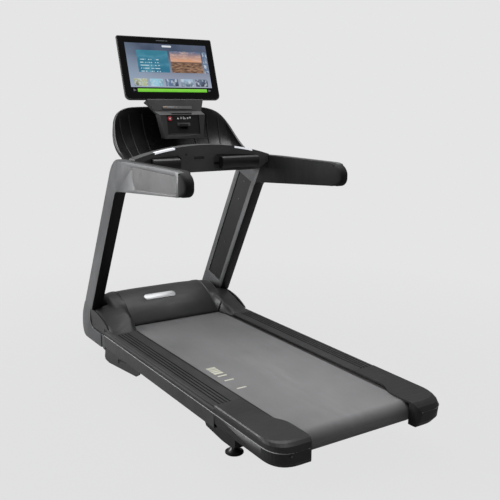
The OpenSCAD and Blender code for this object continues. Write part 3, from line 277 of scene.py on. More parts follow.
M = {
    "shell": finish_of("shell_paint", (0.105, 0.107, 0.110, 1), 0.43, metal=0.45, grain=1500, depth=0.00003,
                       coat=0.05, dust=0.1),
    # The uprights get a near-black grey on faces that look backwards: painted shade.
    "upright": finish_of("upright_paint_shaded_rear", (0.125, 0.127, 0.130, 1), 0.45, metal=0.40, grain=1500, depth=0.00003,
                         dust=0.1, rear=0.012),
    "hood": finish_of("hood_plastic", 0.031, 0.45, grain=900, depth=0.00007, dust=0.12),
    "cap": finish_of("cap_plastic", 0.024, 0.43, shine=0.38, grain=1000, depth=0.00006, dust=0.12),
    "inlay": finish_of("inlay_panel", 0.15, 0.40, metal=0.4, grain=1200, depth=0.00004, dust=0.05),
    # Light grey of the beads and outlines: painted highlights along seams and rims.
    "bead": finish_of("painted_highlight_bead", 0.34, 0.50, grain=300, depth=0.000005, spread=0.08, dust=0.0),
    "panel": finish_of("panel_plastic", 0.042, 0.40, grain=1000, depth=0.00005, dust=0.1),
    "cover": finish_of("cover_plastic", 0.014, 0.48, shine=0.35, grain=900, depth=0.00007, dust=0.1),
    "grip": finish_of("grip_rubber", 0.021, 0.66, grain=650, depth=0.00012, dust=0.05, shine=0.2),
    "tray": finish_of("tray_plastic", 0.015, 0.31, grain=800, depth=0.000015, dust=0.15, coat=0.1),
    "cups": finish_of("cup_plastic", 0.045, 0.34, grain=700, depth=0.00006, dust=0.15),
    "neck": finish_of("neck_plastic", 0.045, 0.40, grain=1000, depth=0.00005, dust=0.1),
    "bar": finish_of("bar_plastic", 0.075, 0.42, grain=900, depth=0.00006, dust=0.1),
    "bezel": finish_of("bezel_plastic", 0.004, 0.12, grain=1500, depth=0.00001, spread=0.3, dust=0.0, shine=0.3,
                       rough_spread=0.03),
    "rim": finish_of("rim_plastic", 0.035, 0.34, grain=1100, depth=0.00004, dust=0.08),
    "black": finish_of("black_plastic", 0.012, 0.42, grain=800, depth=0.00008, dust=0.15),
    "rubber": finish_of("black_rubber", 0.018, 0.68, grain=500, depth=0.00014, dust=0.3),
    "frame": finish_of("frame_paint", 0.020, 0.38, grain=260, depth=0.00010, coat=0.3, dust=0.2, coarse=0.0002),
    "foot": finish_of("foot_paint", 0.016, 0.36, grain=420, depth=0.00008, coat=0.2, dust=0.2),
    "motor": finish_of("motor_paint", (0.028, 0.032, 0.04, 1), 0.42, metal=0.3, grain=380, depth=0.00012, coat=0.2),
    "alloy": finish_of("control_aluminium", 0.55, 0.38, metal=1.0, grain=900, depth=0.00005, spread=0.08),
    "iron": finish_of("flywheel_iron", (0.20, 0.19, 0.18, 1), 0.5, metal=0.9, grain=420, depth=0.00016),
    "wheel": finish_of("wheel_plastic", 0.05, 0.5, grain=700, depth=0.00008, dust=0.3),
    "red": finish_of("red_plastic", (0.58, 0.035, 0.05, 1), 0.3, grain=900, depth=0.00003, spread=0.08,
                     coat=0.4, dust=0.0),
    "badge": finish_of("badge_plastic", (0.62, 0.63, 0.64, 1), 0.3, metal=0.35, grain=1500, depth=0.00002,
                       spread=0.06, dust=0.0, coat=0.3),
    "steel": brushed("bright_steel", (0.62, 0.62, 0.61), 0.28, 0),
    "screw": brushed("screw_steel", (0.16, 0.16, 0.165), 0.34, 1),
    # Near-white colour and a glow on the pulse sensors' steel: painted highlight.
    "sensor": brushed("sensor_steel", (0.95, 0.955, 0.96), 0.24, 0, 0.05, 0.55),
    "belt": belt_material(),
    "rail": rail_material(),
    "wood": wood_material(),
}

dress = {
    "upright": "left_upright right_upright",
    "shell": "left_elbow right_elbow",
    "cover": "left_upright_cover right_upright_cover",
    "grip": "left_grip right_grip",
    "hood": "motor_hood side_plates",
    "cap": "left_end_cap right_end_cap",
    "panel": "left_side_panel right_side_panel",
    "inlay": "grip_inlays",
    "rail": "left_foot_rail right_foot_rail",
    "belt": "running_belt",
    "tray": "console_tray",
    "cups": "bottle_cups",
    "neck": "console_neck",
    "bar": "crossbar",
    "black": "keypad_panel safety_key_socket power_inlet belly_pan power_switch left_paddle right_paddle",
    "rubber": "deck_cushions drive_belt",
    "frame": "left_side_beam right_side_beam cross_members lift_brackets foot_brackets lift_frame",
    "foot": "left_rear_foot right_rear_foot",
    "motor": "drive_motor lift_motor",
    "alloy": "control_box motor_pulley",
    "iron": "motor_flywheel",
    "wheel": "left_lift_wheel right_lift_wheel",
    "red": "stop_button",
    "badge": "hood_badge",
    "steel": "roller_axles roller_bearings axle_bolts motor_shaft lift_screw front_roller rear_roller",
    "screw": "cover_screws",
    "sensor": "pulse_sensors",
    "wood": "deck_board",
    "rim": "display_housing",
    "bezel": "display_glass",
}
soft_edge = {
    "left_upright": 5, "right_upright": 5, "left_elbow": 5, "right_elbow": 5, "left_grip": 6, "right_grip": 6,
    "motor_hood": 3, "left_end_cap": 2, "right_end_cap": 2, "console_tray": 3, "console_neck": 2.5,
    "crossbar": 3, "display_housing": 1.6, "left_paddle": 2, "right_paddle": 2, "side_plates": 1.5,
    "left_foot_rail": 0.6, "right_foot_rail": 0.6, "left_side_panel": 1, "right_side_panel": 1,
    "hood_badge": 0.5, "grip_inlays": 0.6, "lift_brackets": 1.5, "foot_brackets": 2, "belly_pan": 1.5,
    "left_side_beam": 3, "right_side_beam": 3, "keypad_panel": 0.6,
}


def paint(piece, key):
    piece.data.materials.clear()
    piece.data.materials.append(M[key])


def soften(piece, width_mm, segments=2, angle=32):
    """Joins the mesh's split corners and rounds its sharp edges."""
    weld = piece.modifiers.new("weld", "WELD")
    weld.merge_threshold = 0.00002
    bevel = piece.modifiers.new("bevel", "BEVEL")
    bevel.width = width_mm / 1000
    bevel.segments = segments
    bevel.limit_method = "ANGLE"
    bevel.angle_limit = math.radians(angle)
    bevel.use_clamp_overlap = True
    bevel.miter_outer = "MITER_ARC"
    bevel.harden_normals = False


for key, names in dress.items():
    for name in names.split():
        paint(nodes[name], key)


# -------------------------------------------------------------- mesh tools
def object_from(name, mesh, key, body, smooth=None):
    """Smooth-shaded piece made of a finished mesh, riding on a body."""
    obj = bpy.data.objects.new(name, mesh)
    scene.collection.objects.link(obj)
    mesh.materials.clear()
    mesh.materials.append(M[key])
    for polygon in mesh.polygons:
        polygon.use_smooth = True
    if smooth:
        mesh.set_sharp_from_angle(angle=math.radians(smooth))
    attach(obj, body)
    return obj


def piece_from(name, bm, key, body="treadmill", smooth=30):
    mesh = bpy.data.meshes.new(name)
    bmesh.ops.recalc_face_normals(bm, faces=bm.faces)
    bm.to_mesh(mesh)
    bm.free()
    obj = object_from(name, mesh, key, body, smooth)
    return obj


def rounded(w, h, r, n=6, centre=(0, 0)):
    """Outline of a rectangle with rounded corners."""
    points = []
    for cx, cy, a in ((w / 2 - r, h / 2 - r, 0), (-w / 2 + r, h / 2 - r, 90),
                      (-w / 2 + r, -h / 2 + r, 180), (w / 2 - r, -h / 2 + r, 270)):
        for i in range(n + 1):
            t = math.radians(a + 90 * i / n)
            points.append((centre[0] + cx + r * math.cos(t), centre[1] + cy + r * math.sin(t)))
    return points


def slab(bm, outline, place, low, high, edge=0.0):
    """Adds a plate with a rounded upper edge; place(u, v, n) gives the point in the row frame."""
    def ring(inset, n):
        cx = sum(p[0] for p in outline) / len(outline)
        cy = sum(p[1] for p in outline) / len(outline)
        out = []
        for u, v in outline:
            d = math.hypot(u - cx, v - cy) or 1
            out.append(bm.verts.new(place(u - (u - cx) / d * inset, v - (v - cy) / d * inset, n)))
        return out
    rings = [ring(0, low), ring(0, high - edge)]
    if edge:
        rings += [ring(edge * 0.35, high - edge * 0.3), ring(edge, high)]
    for a, b in zip(rings, rings[1:]):
        for i in range(len(a)):
            j = (i + 1) % len(a)
            bm.faces.new((a[i], a[j], b[j], b[i]))
    bm.faces.new(rings[0][::-1])
    bm.faces.new(rings[-1])


tilt = math.radians(18.2)
screen_y, screen_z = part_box("display_housing")[0].y, 1.431


def on_screen(u, v, n):
    """Point at u across, v up and n out of the tilted screen, in metres."""
    return (u, screen_y + v * math.sin(tilt) - n * math.cos(tilt), screen_z + v * math.cos(tilt) + n * math.sin(tilt))


# ---------------------------------------------------------- screen picture
def screen_material(name, kind, a, b, strength=1.0):
    """Lit picture area: a gradient up the screen with soft procedural shapes."""
    g = Graph(name)
    x, y, z = g.where()
    up = g.remap(z, 0, 1, kind[0], kind[1] - (kind[1] - kind[0]) * (0.25 if kind[2] == "wall" else 0))
    tone = g.mix(up, a, b)
    style = kind[2]
    if style == "wall":
        # Lighter towards the lower left: painted reflection of glare on the screen glass.
        painted_glare = g.math("ADD", g.math("MULTIPLY", x, 0.9), z)
        tone = g.mix(g.remap(painted_glare, 0.35, 0, 1.40, 1.56), tone, (0.30, 0.42, 0.55, 1))
        tone = g.mix(g.remap(g.noise(9, 4), 0, 0.15), tone, (0.36, 0.40, 0.50, 1))
    if style == "teal":
        tone = g.mix(g.remap(g.noise(14, 3, 0.5, (1, 1, 3)), 0, 0.55, 0.42, 0.62), tone, (0.10, 0.31, 0.42, 1))
        rows = g.math("GREATER_THAN", g.math("SINE", g.math("MULTIPLY", z, 420.0)), 0.55)
        words = g.remap(g.noise(130, 1, 0.5, (1, 1, 0.05)), 0, 1, 0.45, 0.5)
        block = g.math("MULTIPLY", g.math("LESS_THAN", x, -0.055), g.math("LESS_THAN", z, kind[0] + 0.075))
        block = g.math("MULTIPLY", block, g.math("GREATER_THAN", x, -0.165))
        tone = g.mix(g.math("MULTIPLY", g.math("MULTIPLY", rows, words), block), tone, (0.45, 0.62, 0.68, 1))
    if style == "beach":
        sky = g.mix(g.remap(z, 0, 1, kind[0] + 0.055, kind[1]), (0.75, 0.36, 0.18, 1), (0.07, 0.13, 0.24, 1))
        cloud = g.remap(g.noise(22, 6, 0.6, (1, 1, 4)), 0, 0.8, 0.5, 0.68)
        sky = g.mix(cloud, sky, (0.62, 0.42, 0.34, 1))
        ripples = g.remap(g.noise(40, 5, 0.6, (1, 1, 6)), 0, 1, 0.4, 0.62)
        sand = g.mix(ripples, (0.075, 0.038, 0.024, 1), (0.36, 0.21, 0.13, 1))
        tone = g.mix(g.math("GREATER_THAN", z, kind[0] + 0.052), sand, sky)
        pier = g.math("LESS_THAN", g.math("ABSOLUTE", g.math("SUBTRACT", z, kind[0] + 0.054)), 0.004)
        tone = g.mix(g.math("MULTIPLY", pier, 0.85), tone, (0.10, 0.07, 0.06, 1))
    if style == "scene":
        hills = g.remap(g.noise(26, 4, 0.5, (1, 1, 0.4)), 0, 1, 0.42, 0.56)
        tone = g.mix(hills, tone, b)
        tone = g.mix(g.remap(g.noise(70, 4), 0, 0.8, 0.5, 0.62), tone, (0.55, 0.62, 0.68, 1))
    if style == "bar":
        tone = g.mix(g.remap(g.noise(90, 2, 0.5, (0.3, 1, 1)), 0, 0.25), tone, (0.30, 0.72, 0.12, 1))
    g.bsdf.inputs["Base Color"].default_value = (0.004, 0.004, 0.005, 1)
    g.link(tone, g.bsdf.inputs["Emission Color"])
    g.bsdf.inputs["Emission Strength"].default_value = strength
    g.bsdf.inputs["Coat Weight"].default_value = 0.5
    g.link(g.remap(g.noise(12, 4), 0.12, 0.3), g.bsdf.inputs["Roughness"])
    return g.mat


def screen_z_at(v):
    return on_screen(0, v, 0)[2]


def screen_piece(name, style, a, b, outlines, low, high, strength=1.0):
    vs = [v for outline in outlines for u, v in outline]
    M[name] = screen_material(name, (screen_z_at(min(vs)), screen_z_at(max(vs)), style), a, b, strength)
    bm = bmesh.new()
    for outline in outlines:
        slab(bm, outline, on_screen, low, high, 0.00004)
    return piece_from(name, bm, name)


base_n = -0.0015
wall_v = (0.066, 0.301)
screen_piece("screen_wall", "wall", (0.34, 0.38, 0.48, 1), (0.040, 0.060, 0.11, 1),
             [rounded(0.472, wall_v[1] - wall_v[0], 0.0015, centre=(0, sum(wall_v) / 2))], base_n, 0.0002)
screen_piece("screen_pill", "plain", (0.60, 0.64, 0.70, 1), (0.72, 0.75, 0.80, 1),
             [rounded(0.055, 0.010, 0.0045, centre=(0.0, 0.288))], base_n, 0.0004)
screen_piece("screen_teal_card", "teal", (0.022, 0.15, 0.25, 1), (0.03, 0.19, 0.27, 1),
             [rounded(0.178, 0.118, 0.002, centre=(-0.090, 0.205))], base_n, 0.0004)
screen_piece("screen_beach_card", "beach", (0.3, 0.3, 0.3, 1), (0.5, 0.5, 0.5, 1),
             [rounded(0.186, 0.118, 0.002, centre=(0.105, 0.205))], base_n, 0.0004)
screen_piece("screen_side_card", "scene", (0.35, 0.20, 0.12, 1), (0.12, 0.18, 0.28, 1),
             [rounded(0.026, 0.118, 0.002, centre=(0.220, 0.205))], base_n, 0.0004)
thumbs = ((0.42, 0.46, 0.28, 1), (0.30, 0.55, 0.68, 1), (0.12, 0.18, 0.30, 1),
          (0.36, 0.50, 0.64, 1), (0.10, 0.13, 0.20, 1))
for i, tone in enumerate(thumbs):
    screen_piece(f"screen_thumb_{i}", "scene", tuple(c * 0.2 for c in tone[:3]) + (1,), tone,
                 [rounded(0.074, 0.040, 0.002, centre=(-0.178 + 0.089 * i, 0.092))], base_n, 0.0004)
screen_piece("screen_bar", "bar", (0.13, 0.54, 0.025, 1), (0.22, 0.64, 0.05, 1),
             [rounded(0.404, 0.017, 0.002, centre=(0, 0.050))], base_n, 0.0004, 1.0)
small = []
for u in (-0.218, 0.218):
    small += [rounded(0.0035, 0.012, 0.001, centre=(u - 0.005, 0.050)),
              rounded(0.0035, 0.008, 0.001, centre=(u, 0.050)),
              rounded(0.0035, 0.005, 0.001, centre=(u + 0.005, 0.050))]
screen_piece("screen_marks", "plain", (0.25, 0.27, 0.30, 1), (0.35, 0.37, 0.40, 1), small, base_n, 0.0004, 0.5)
screen_piece("screen_title", "plain", (0.7, 0.8, 0.85, 1), (0.8, 0.85, 0.9, 1),
             [rounded(0.050, 0.004, 0.0015, centre=(-0.03, 0.318)),
              rounded(0.012, 0.004, 0.0015, centre=(0.005, 0.318))],
             base_n, 0.0003, 0.12)

# -------------------------------------------------------------- lane marks
M["marks"] = finish_of("lane_marks", (0.52, 0.52, 0.43, 1), 0.6, grain=900, depth=0.00006, spread=0.12, dust=0.0)
BELT_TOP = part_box("running_belt")[1].z
LANE_X, LANE_WIDTH = -0.223, 0.046
lane_spans = ((-0.292, -0.272), (-0.268, -0.252), (-0.248, -0.234), (-0.230, -0.206),
              (-0.323, -0.312), (-0.381, -0.370), (-0.484, -0.473))


def on_belt(u, v, n):
    return (u, v, BELT_TOP + n)


bm = bmesh.new()
for y0, y1 in lane_spans:
    mark = rounded(LANE_WIDTH, y1 - y0, 0.0015, centre=(LANE_X, (y0 + y1) / 2))
    slab(bm, mark, on_belt, -0.0004, 0.0003, 0.00005)
piece_from("lane_marks", bm, "marks")


# --------------------------------------------- shells with generous corners
TIP_CUT, TIP_REACH = -0.3222, 0.0515         # where the rubber cap starts, and how far it goes
TIP_WIDTH, TIP_HEIGHT = 0.0562, 0.0998
TIP_X, TIP_Z = 0.4032, 1.0939


def mix(a, b, t):
    return a + (b - a) * t


def round_tip(bm, side):
    """Replaces the last 52 mm of a grip by a rubber cap rounded both in plan and in elevation."""
    geom = bm.verts[:] + bm.edges[:] + bm.faces[:]
    bmesh.ops.bisect_plane(bm, geom=geom, plane_co=(0, TIP_CUT, 0), plane_no=(0, -1, 0), clear_outer=True)
    bmesh.ops.holes_fill(bm, edges=[e for e in bm.edges if len(e.link_faces) == 1], sides=0)
    rings = []
    for k in range(19):
        t = math.pi / 2 * max(0, k - 2) / 16
        w, h = TIP_WIDTH * max(math.cos(t) ** 0.5, 0.03), TIP_HEIGHT * max(math.cos(t) ** 0.85, 0.02)
        x = side * (TIP_X - 0.001 * math.sin(t))
        y = TIP_CUT + 0.004 - 0.002 * min(k, 2) - TIP_REACH * math.sin(t)
        z = TIP_Z - 0.006 * math.sin(t)
        outline = rounded(w, h, min(w, h) * mix(0.23, 0.49, math.sin(t)), 7, (0, 0))
        rings.append([bm.verts.new((x + u, y, z + v)) for u, v in outline])
    for a, b in zip(rings, rings[1:]):
        for i in range(len(a)):
            j = (i + 1) % len(a)
            bm.faces.new((a[i], a[j], b[j], b[i]))
    bm.faces.new(rings[0][::-1])
    bm.faces.new(rings[-1])


def refined(name, source, rules, key, extra=None):
    """Copy of a CAD shell with large moulded radii on the chosen edges; it stands for the node.

    Each rule is a radius in mm, its segments and a test of an edge's middle point.
    """
    bm = bmesh.new()
    bm.from_mesh(nodes[source].data)
    bmesh.ops.remove_doubles(bm, verts=bm.verts, dist=0.00002)
    bmesh.ops.dissolve_limit(bm, angle_limit=math.radians(0.4), verts=bm.verts, edges=bm.edges)
    for width, segments, test in rules:
        edges = []
        for e in bm.edges:
            if len(e.link_faces) != 2 or e.calc_face_angle(0) < math.radians(28):
                continue
            if test((e.verts[0].co + e.verts[1].co) / 2):
                edges.append(e)
        bmesh.ops.bevel(bm, geom=edges, offset=width / 1000, segments=segments, profile=0.55,
                        affect="EDGES", clamp_overlap=True)
    if extra:
        extra(bm)
    body = next(b for b, members in frame["record"]["behaviour"]["bodies"].items() if source in members)
    piece = piece_from(name, bm, key, body, smooth=32)
    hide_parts(source)
    return piece


def anywhere(_):
    return True


def on_ribbon(p):
    """Outer edges of the ribbon that runs up the upright and back along the handlebar."""
    front = 0.389 - (p.z - 0.9) * 0.549
    outer = 0.4335 - max(0, p.y - front) * 0.19
    return abs(p.x) > outer and p.z > 0.32 and abs(p.y + 0.322) > 0.003


def under_palm(p):
    """Inner edges of the grip, behind the crossbar."""
    return abs(p.x) < 0.379 and -0.350 < p.y < 0.20


def on_heel(p):
    """Outer edges of the elbow below its seam."""
    return abs(p.x) > 0.40 and p.z < 0.30


for sign, hand in ((-1, "left"), (1, "right")):
    refined(hand + "_upright_shell", hand + "_upright", [(13, 4, on_ribbon), (1.6, 2, anywhere)], "upright")
    refined(hand + "_grip_sleeve", hand + "_grip", [(12, 4, under_palm), (1.4, 2, anywhere)], "grip",
            extra=lambda bm: round_tip(bm, sign))
    refined(hand + "_elbow_casting", hand + "_elbow", [(12, 4, on_heel), (2.0, 2, anywhere)], "shell")

# ---------------------------------------------------------------- the hood
hood_low, hood_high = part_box("motor_hood")
rear = hood_high.y - 0.500                   # rear edge of the hood's middle
rail_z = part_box("left_foot_rail")[1].z - 0.0012
SHOULDER_BACK = 0.106                        # the shoulders reach this far behind the middle
FRONT_RUN = 0.494                            # from the rear edge to the front's rounding
HOOD_HALF = 0.424                            # outer edge of the shoulders
RAIL_IN = 0.299                              # inner edge of the foot rails
UPRIGHT_IN = 0.3435                          # inner face of the uprights
SKIRT_Z = 0.2362                             # lower edge over the belt


def step(t):
    t = max(0.0, min(1.0, t))
    return t * t * (3 - 2 * t)


def along(points, v):
    """Smooth curve through (v, value) points."""
    if v <= points[0][0]:
        return points[0][1]
    for i, ((a, pa), (b, pb)) in enumerate(zip(points, points[1:])):
        if v <= b:
            before = points[i - 1] if i else (2 * a - b, 2 * pa - pb)
            after = points[i + 2] if i + 2 < len(points) else (2 * b - a, 2 * pb - pa)
            ma = (pb - before[1]) / (b - before[0]) * (b - a)
            mb = (after[1] - pa) / (after[0] - a) * (b - a)
            t = (v - a) / (b - a)
            return ((2 * t**3 - 3 * t**2 + 1) * pa + (t**3 - 2 * t**2 + t) * ma
                    + (-2 * t**3 + 3 * t**2) * pb + (t**3 - t**2) * mb)
    return points[-1][1]


def from_rear(points):
    return [(rear + run, z) for run, z in points]


middle_curve = from_rear([(0, 0.2372), (0.030, 0.268), (0.075, 0.306), (0.130, 0.341), (0.180, 0.3635),
                          (0.222, 0.3735), (0.262, 0.372), (0.350, 0.347), (0.430, 0.312), (0.472, 0.284),
                          (FRONT_RUN, 0.250)])
ridge_curve = from_rear([(-SHOULDER_BACK, 0.2405), (-0.090, 0.2485), (-0.020, 0.287), (0.050, 0.3145), (0.130, 0.332),
                         (0.222, 0.343), (0.262, 0.341), (0.350, 0.316), (0.430, 0.285), (0.472, 0.260),
                         (FRONT_RUN, 0.232)])
wing_curve = from_rear([(-0.064, 0.2405), (0.010, 0.2625), (0.071, 0.285), (0.162, 0.311), (0.230, 0.328),
                        (FRONT_RUN, 0.225)])


def foot_at(y):
    """Distance from the middle to the foot of a shoulder's inner wall."""
    return mix(0.2885, 0.262, step((y - rear + 0.104) / 0.104))


def hood_height(x, y):
    """Height of the hood's surface: arched middle and a shoulder on each side, blended where they meet."""
    a = abs(x)
    arch = 0.012 * (max(0.0, a - 0.10) / 0.243) ** 2.2 + 0.016 * max(0.0, (a - 0.318) / 0.025) ** 2
    middle = along(middle_curve, y) - arch if y > rear else -1
    foot = foot_at(y)
    crest = foot + 0.030
    ridge, wing = along(ridge_curve, y), along(wing_curve, y)
    if a < foot:
        side_z = -1
    elif a < crest:
        side_z = mix(0.236 if y < rear else middle, ridge, math.sin(math.pi / 2 * (a - foot) / (crest - foot)) ** 0.8)
    else:
        t = (a - crest) / (HOOD_HALF - crest)
        side_z = mix(ridge, min(wing, ridge), t ** 1.35)
    k = 0.0005 + 0.0155 * step((y - rear) / 0.060)
    if middle < 0:
        return side_z
    if side_z < 0:
        return middle
    h = max(0.0, k - abs(middle - side_z)) / k
    return max(middle, side_z) + h * h * k / 4


def hood_piece():
    """Sheet over the grid of heights, open where the uprights pass, with a skirt and a wall thickness."""
    bm = bmesh.new()
    columns = [*range(0, 250, 14), *range(250, 322, 3), 328, 336, 343, 347, *range(356, 416, 10), 414, 420, 424]
    xs = [round(v * 0.001, 4) for v in columns]
    xs = [-x for x in xs[:0:-1]] + xs
    ys = [rear - SHOULDER_BACK + SHOULDER_BACK * i / 22 for i in range(22)]
    ys += [rear + FRONT_RUN * (i / 66) for i in range(67)]
    grid = {}
    for i, x in enumerate(xs):
        a = abs(x)
        for j, y in enumerate(ys):
            if y < rear - 1e-6 and a < foot_at(y) <= a + 0.0031:
                grid[i, j] = bm.verts.new((math.copysign(foot_at(y), x), y, 0.2372))
                continue
            z = hood_height(x, y)
            if a > UPRIGHT_IN and y > rear + 0.165 and y > 0.389 - (z - 0.9) * 0.549 - 0.004:
                continue
            if z < 0 or (a < 0.262 and y < rear - 1e-6) or (z < rail_z - 0.002 and a > RAIL_IN):
                if a < RAIL_IN or z < rail_z - 0.010:
                    continue
                z = rail_z - 0.003
            if a > 0.405:
                z -= 0.010 * ((a - 0.405) / 0.019) ** 2
                z = max(z, rail_z - 0.003)
            grid[i, j] = bm.verts.new((x, y, z))
    for (i, j) in list(grid):
        corner = [grid.get(k) for k in ((i, j), (i + 1, j), (i + 1, j + 1), (i, j + 1))]
        if all(corner):
            bm.faces.new(corner)
    for v in [v for v in bm.verts if not v.link_faces]:
        bm.verts.remove(v)
    # Skirt down from every open border
    rim = [e for e in bm.edges if len(e.link_faces) == 1]
    made = {}

    def below(v):
        if v not in made:
            a = abs(v.co.x)
            z = rail_z - 0.003 if a > RAIL_IN and v.co.y < rear + 0.16 else SKIRT_Z
            if v.co.y > rear + 0.23 or (abs(a - 0.343) < 0.002 and v.co.y > rear + 0.17):
                z = hood_low.z + 0.001
            y = v.co.y + (0.0055 if v.co.y > rear + 0.49 else 0)
            made[v] = bm.verts.new((v.co.x, y, min(z, v.co.z - 0.0005)))
        return made[v]
    for e in rim:
        a, b = e.verts
        bm.faces.new((a, b, below(b), below(a)))
    bmesh.ops.recalc_face_normals(bm, faces=bm.faces)
    if sum(f.normal.z * f.calc_area() for f in bm.faces) < 0:
        bmesh.ops.reverse_faces(bm, faces=bm.faces)
    mesh = bpy.data.meshes.new("hood_shell")
    bm.to_mesh(mesh)
    bm.free()
    obj = object_from("hood_shell", mesh, "hood", "treadmill", 48)
    thick = obj.modifiers.new("thickness", "SOLIDIFY")
    thick.thickness = 0.0028
    thick.offset = -1
    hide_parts("motor_hood")


hood_piece()

# ------------------------------------------------------------ badge on top
def badge_piece():
    """Oval plate bent to the hood's slope, with a raised rim and a sunk satin field."""
    bm = bmesh.new()
    y0 = rear + 0.140

    def place(u, v, n):
        x, y = -0.041 + u, y0 + v
        z = hood_height(x, y)
        dz = (hood_height(x, y + 0.002) - hood_height(x, y - 0.002)) / 0.004
        length = math.hypot(1, dz)
        return (x, y - n * dz / length, z + n / length)
    slab(bm, rounded(0.192, 0.038, 0.0189, 10), place, -0.001, 0.0026, 0.0012)
    slab(bm, rounded(0.181, 0.028, 0.0139, 10), place, 0.0020, 0.0031, 0.0004)
    piece = piece_from("hood_nameplate", bm, "badge")
    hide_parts("hood_badge")


badge_piece()

# ------------------------------------------------------- keypad and console
panel_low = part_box("keypad_panel")[0]
lean = math.radians(9.7)


def on_panel(u, v, n):
    """Point on the keypad's face: u across, v up the face, n out of it."""
    return (u, panel_low.y + v * math.sin(lean) - n * math.cos(lean),
            panel_low.z + 0.0007 + v * math.cos(lean) + n * math.sin(lean))


M["legend"] = finish_of("legend_ink", (0.80, 0.81, 0.82, 1), 0.5, grain=1500, depth=0.00001, spread=0.05, dust=0.0)
M["amber"] = finish_of("amber_ink", (0.62, 0.24, 0.04, 1), 0.45, grain=1500, depth=0.00001, spread=0.1, dust=0.0)
M["ledge"] = finish_of("ledge_plastic", 0.12, 0.32, grain=1200, depth=0.00003, dust=0.05)
M["tab"] = finish_of("tab_plastic", 0.085, 0.38, grain=1000, depth=0.00004, dust=0.05)


def flat_piece(name, key, outlines, place, low, high, edge=0.0003, body="treadmill"):
    bm = bmesh.new()
    for outline in outlines:
        slab(bm, outline, place, low, high, edge)
    return piece_from(name, bm, key, body)


# Arrow, bar and dot symbols in place of the real legends
legend = [[(-0.034, 0.078), (-0.028, 0.089), (-0.022, 0.078)], rounded(0.012, 0.003, 0.001, 3, (-0.010, 0.084)),
          rounded(0.003, 0.012, 0.001, 3, (-0.010, 0.084)), rounded(0.0035, 0.014, 0.001, 3, (0.003, 0.084)),
          rounded(0.0035, 0.010, 0.001, 3, (0.009, 0.082)), rounded(0.0035, 0.006, 0.001, 3, (0.015, 0.080)),
          rounded(0.009, 0.009, 0.0044, 5, (0.028, 0.083)), [(0.036, 0.089), (0.042, 0.078), (0.048, 0.089)]]
flat_piece("keypad_legend", "legend", legend, on_panel, -0.0004, 0.0003, 0.0001)
flat_piece("keypad_tab", "tab", [rounded(0.074, 0.018, 0.004, 5, (0.002, 0.050))], on_panel, -0.0015, 0.0042, 0.0016)
flat_piece("keypad_border", "tab",
           [rounded(0.176, 0.0016, 0.0006, 3, (0, 0.094)), rounded(0.158, 0.0016, 0.0006, 3, (0, 0.004))],
           on_panel, -0.0004, 0.0008, 0.0003)
button_low, button_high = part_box("stop_button")


def on_button(u, v, n):
    c = (button_low + button_high) / 2
    return (c.x + u, button_low.y + 0.0022 + v * math.sin(lean) - n * math.cos(lean),
            c.z + 0.0010 + v * math.cos(lean) + n * math.sin(lean))


flat_piece("stop_mark", "legend", [rounded(0.0085, 0.0085, 0.0015, 4)], on_button, -0.001, 0.0006, 0.0003,
           "stop_button")

# ------------------------------------------------- light beads and outlines: painted highlights
def tube(name, points, radius, key, closed=False, body="treadmill"):
    """Bead swept along a path of points, as a real mesh."""
    curve = bpy.data.curves.new(name, "CURVE")
    curve.dimensions = "3D"
    spline = curve.splines.new("POLY")
    spline.points.add(len(points) - 1)
    for q, point in zip(spline.points, points):
        q.co = (*point, 1)
    spline.use_cyclic_u = closed
    curve.bevel_depth = radius
    curve.bevel_resolution = 3
    curve.use_fill_caps = True
    helper = bpy.data.objects.new(name + "_path", curve)
    scene.collection.objects.link(helper)
    bpy.context.view_layer.update()
    mesh = bpy.data.meshes.new_from_object(helper.evaluated_get(bpy.context.evaluated_depsgraph_get()))
    bpy.data.objects.remove(helper)
    return object_from(name, mesh, key, body)


cap_low, cap_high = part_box("right_end_cap")
side_face = cap_high.x
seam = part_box("right_side_panel")[1].z - 0.0018
rail_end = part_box("right_foot_rail")[1].y
rear_y = cap_low.y
BEAD, OUTLINE = 0.0018, 0.0011               # radii
STAND_OUT = 0.0005                           # of the bead's centre line from the panel
for sign, hand in ((-1, "left"), (1, "right")):
    # A light bead along the seam below the rail and round the end cap: painted highlight of the panel's top edge.
    beside = sign * (side_face + STAND_OUT)
    path = [(beside, rail_end - 0.001, seam), (beside, cap_high.y, seam)]
    for i in range(15):
        t = i / 14
        a, b, c = (side_face, rear_y + 0.104), (side_face, rear_y), (side_face - 0.096, rear_y)
        px = (1 - t) ** 2 * a[0] + 2 * t * (1 - t) * b[0] + t * t * c[0]
        py = (1 - t) ** 2 * a[1] + 2 * t * (1 - t) * b[1] + t * t * c[1]
        path.append((sign * (px + STAND_OUT - 0.0009 * t), py + 0.0022 * t, seam))
    path.append((sign * (side_face - 0.145), rear_y + 0.0022, seam))
    tube(hand + "_seam_highlight_bead", path, BEAD, "bead")
    # Light outline of the recessed panel on the outer face of the handlebar: painted highlight along the panel's rim
    outline = [(-0.290, 1.1285), (0.118, 1.1300), (0.128, 1.1255), (0.1315, 1.114), (0.126, 1.074), (0.116, 1.046),
               (0.100, 1.034), (0.082, 1.0305), (-0.274, 1.0480), (-0.294, 1.0520), (-0.302, 1.060), (-0.304, 1.074),
               (-0.3045, 1.106), (-0.302, 1.120)]
    ring = [(sign * 0.4319, y, z) for y, z in outline]
    tube(hand + "_panel_rim_highlight", ring, OUTLINE, "bead", closed=True)


# Ledge strip and small marks on the neck, and dark patches for the slot and hole in the crossbar: painted shade
# inside them
def on_neck(u, v, n):
    """Point on the sloping face above the keypad frame, v up the slope from its lower fold."""
    t = v / 0.065
    return (u, 0.504 + 0.025 * t - n * 0.923, 1.372 + 0.060 * t + n * 0.385)


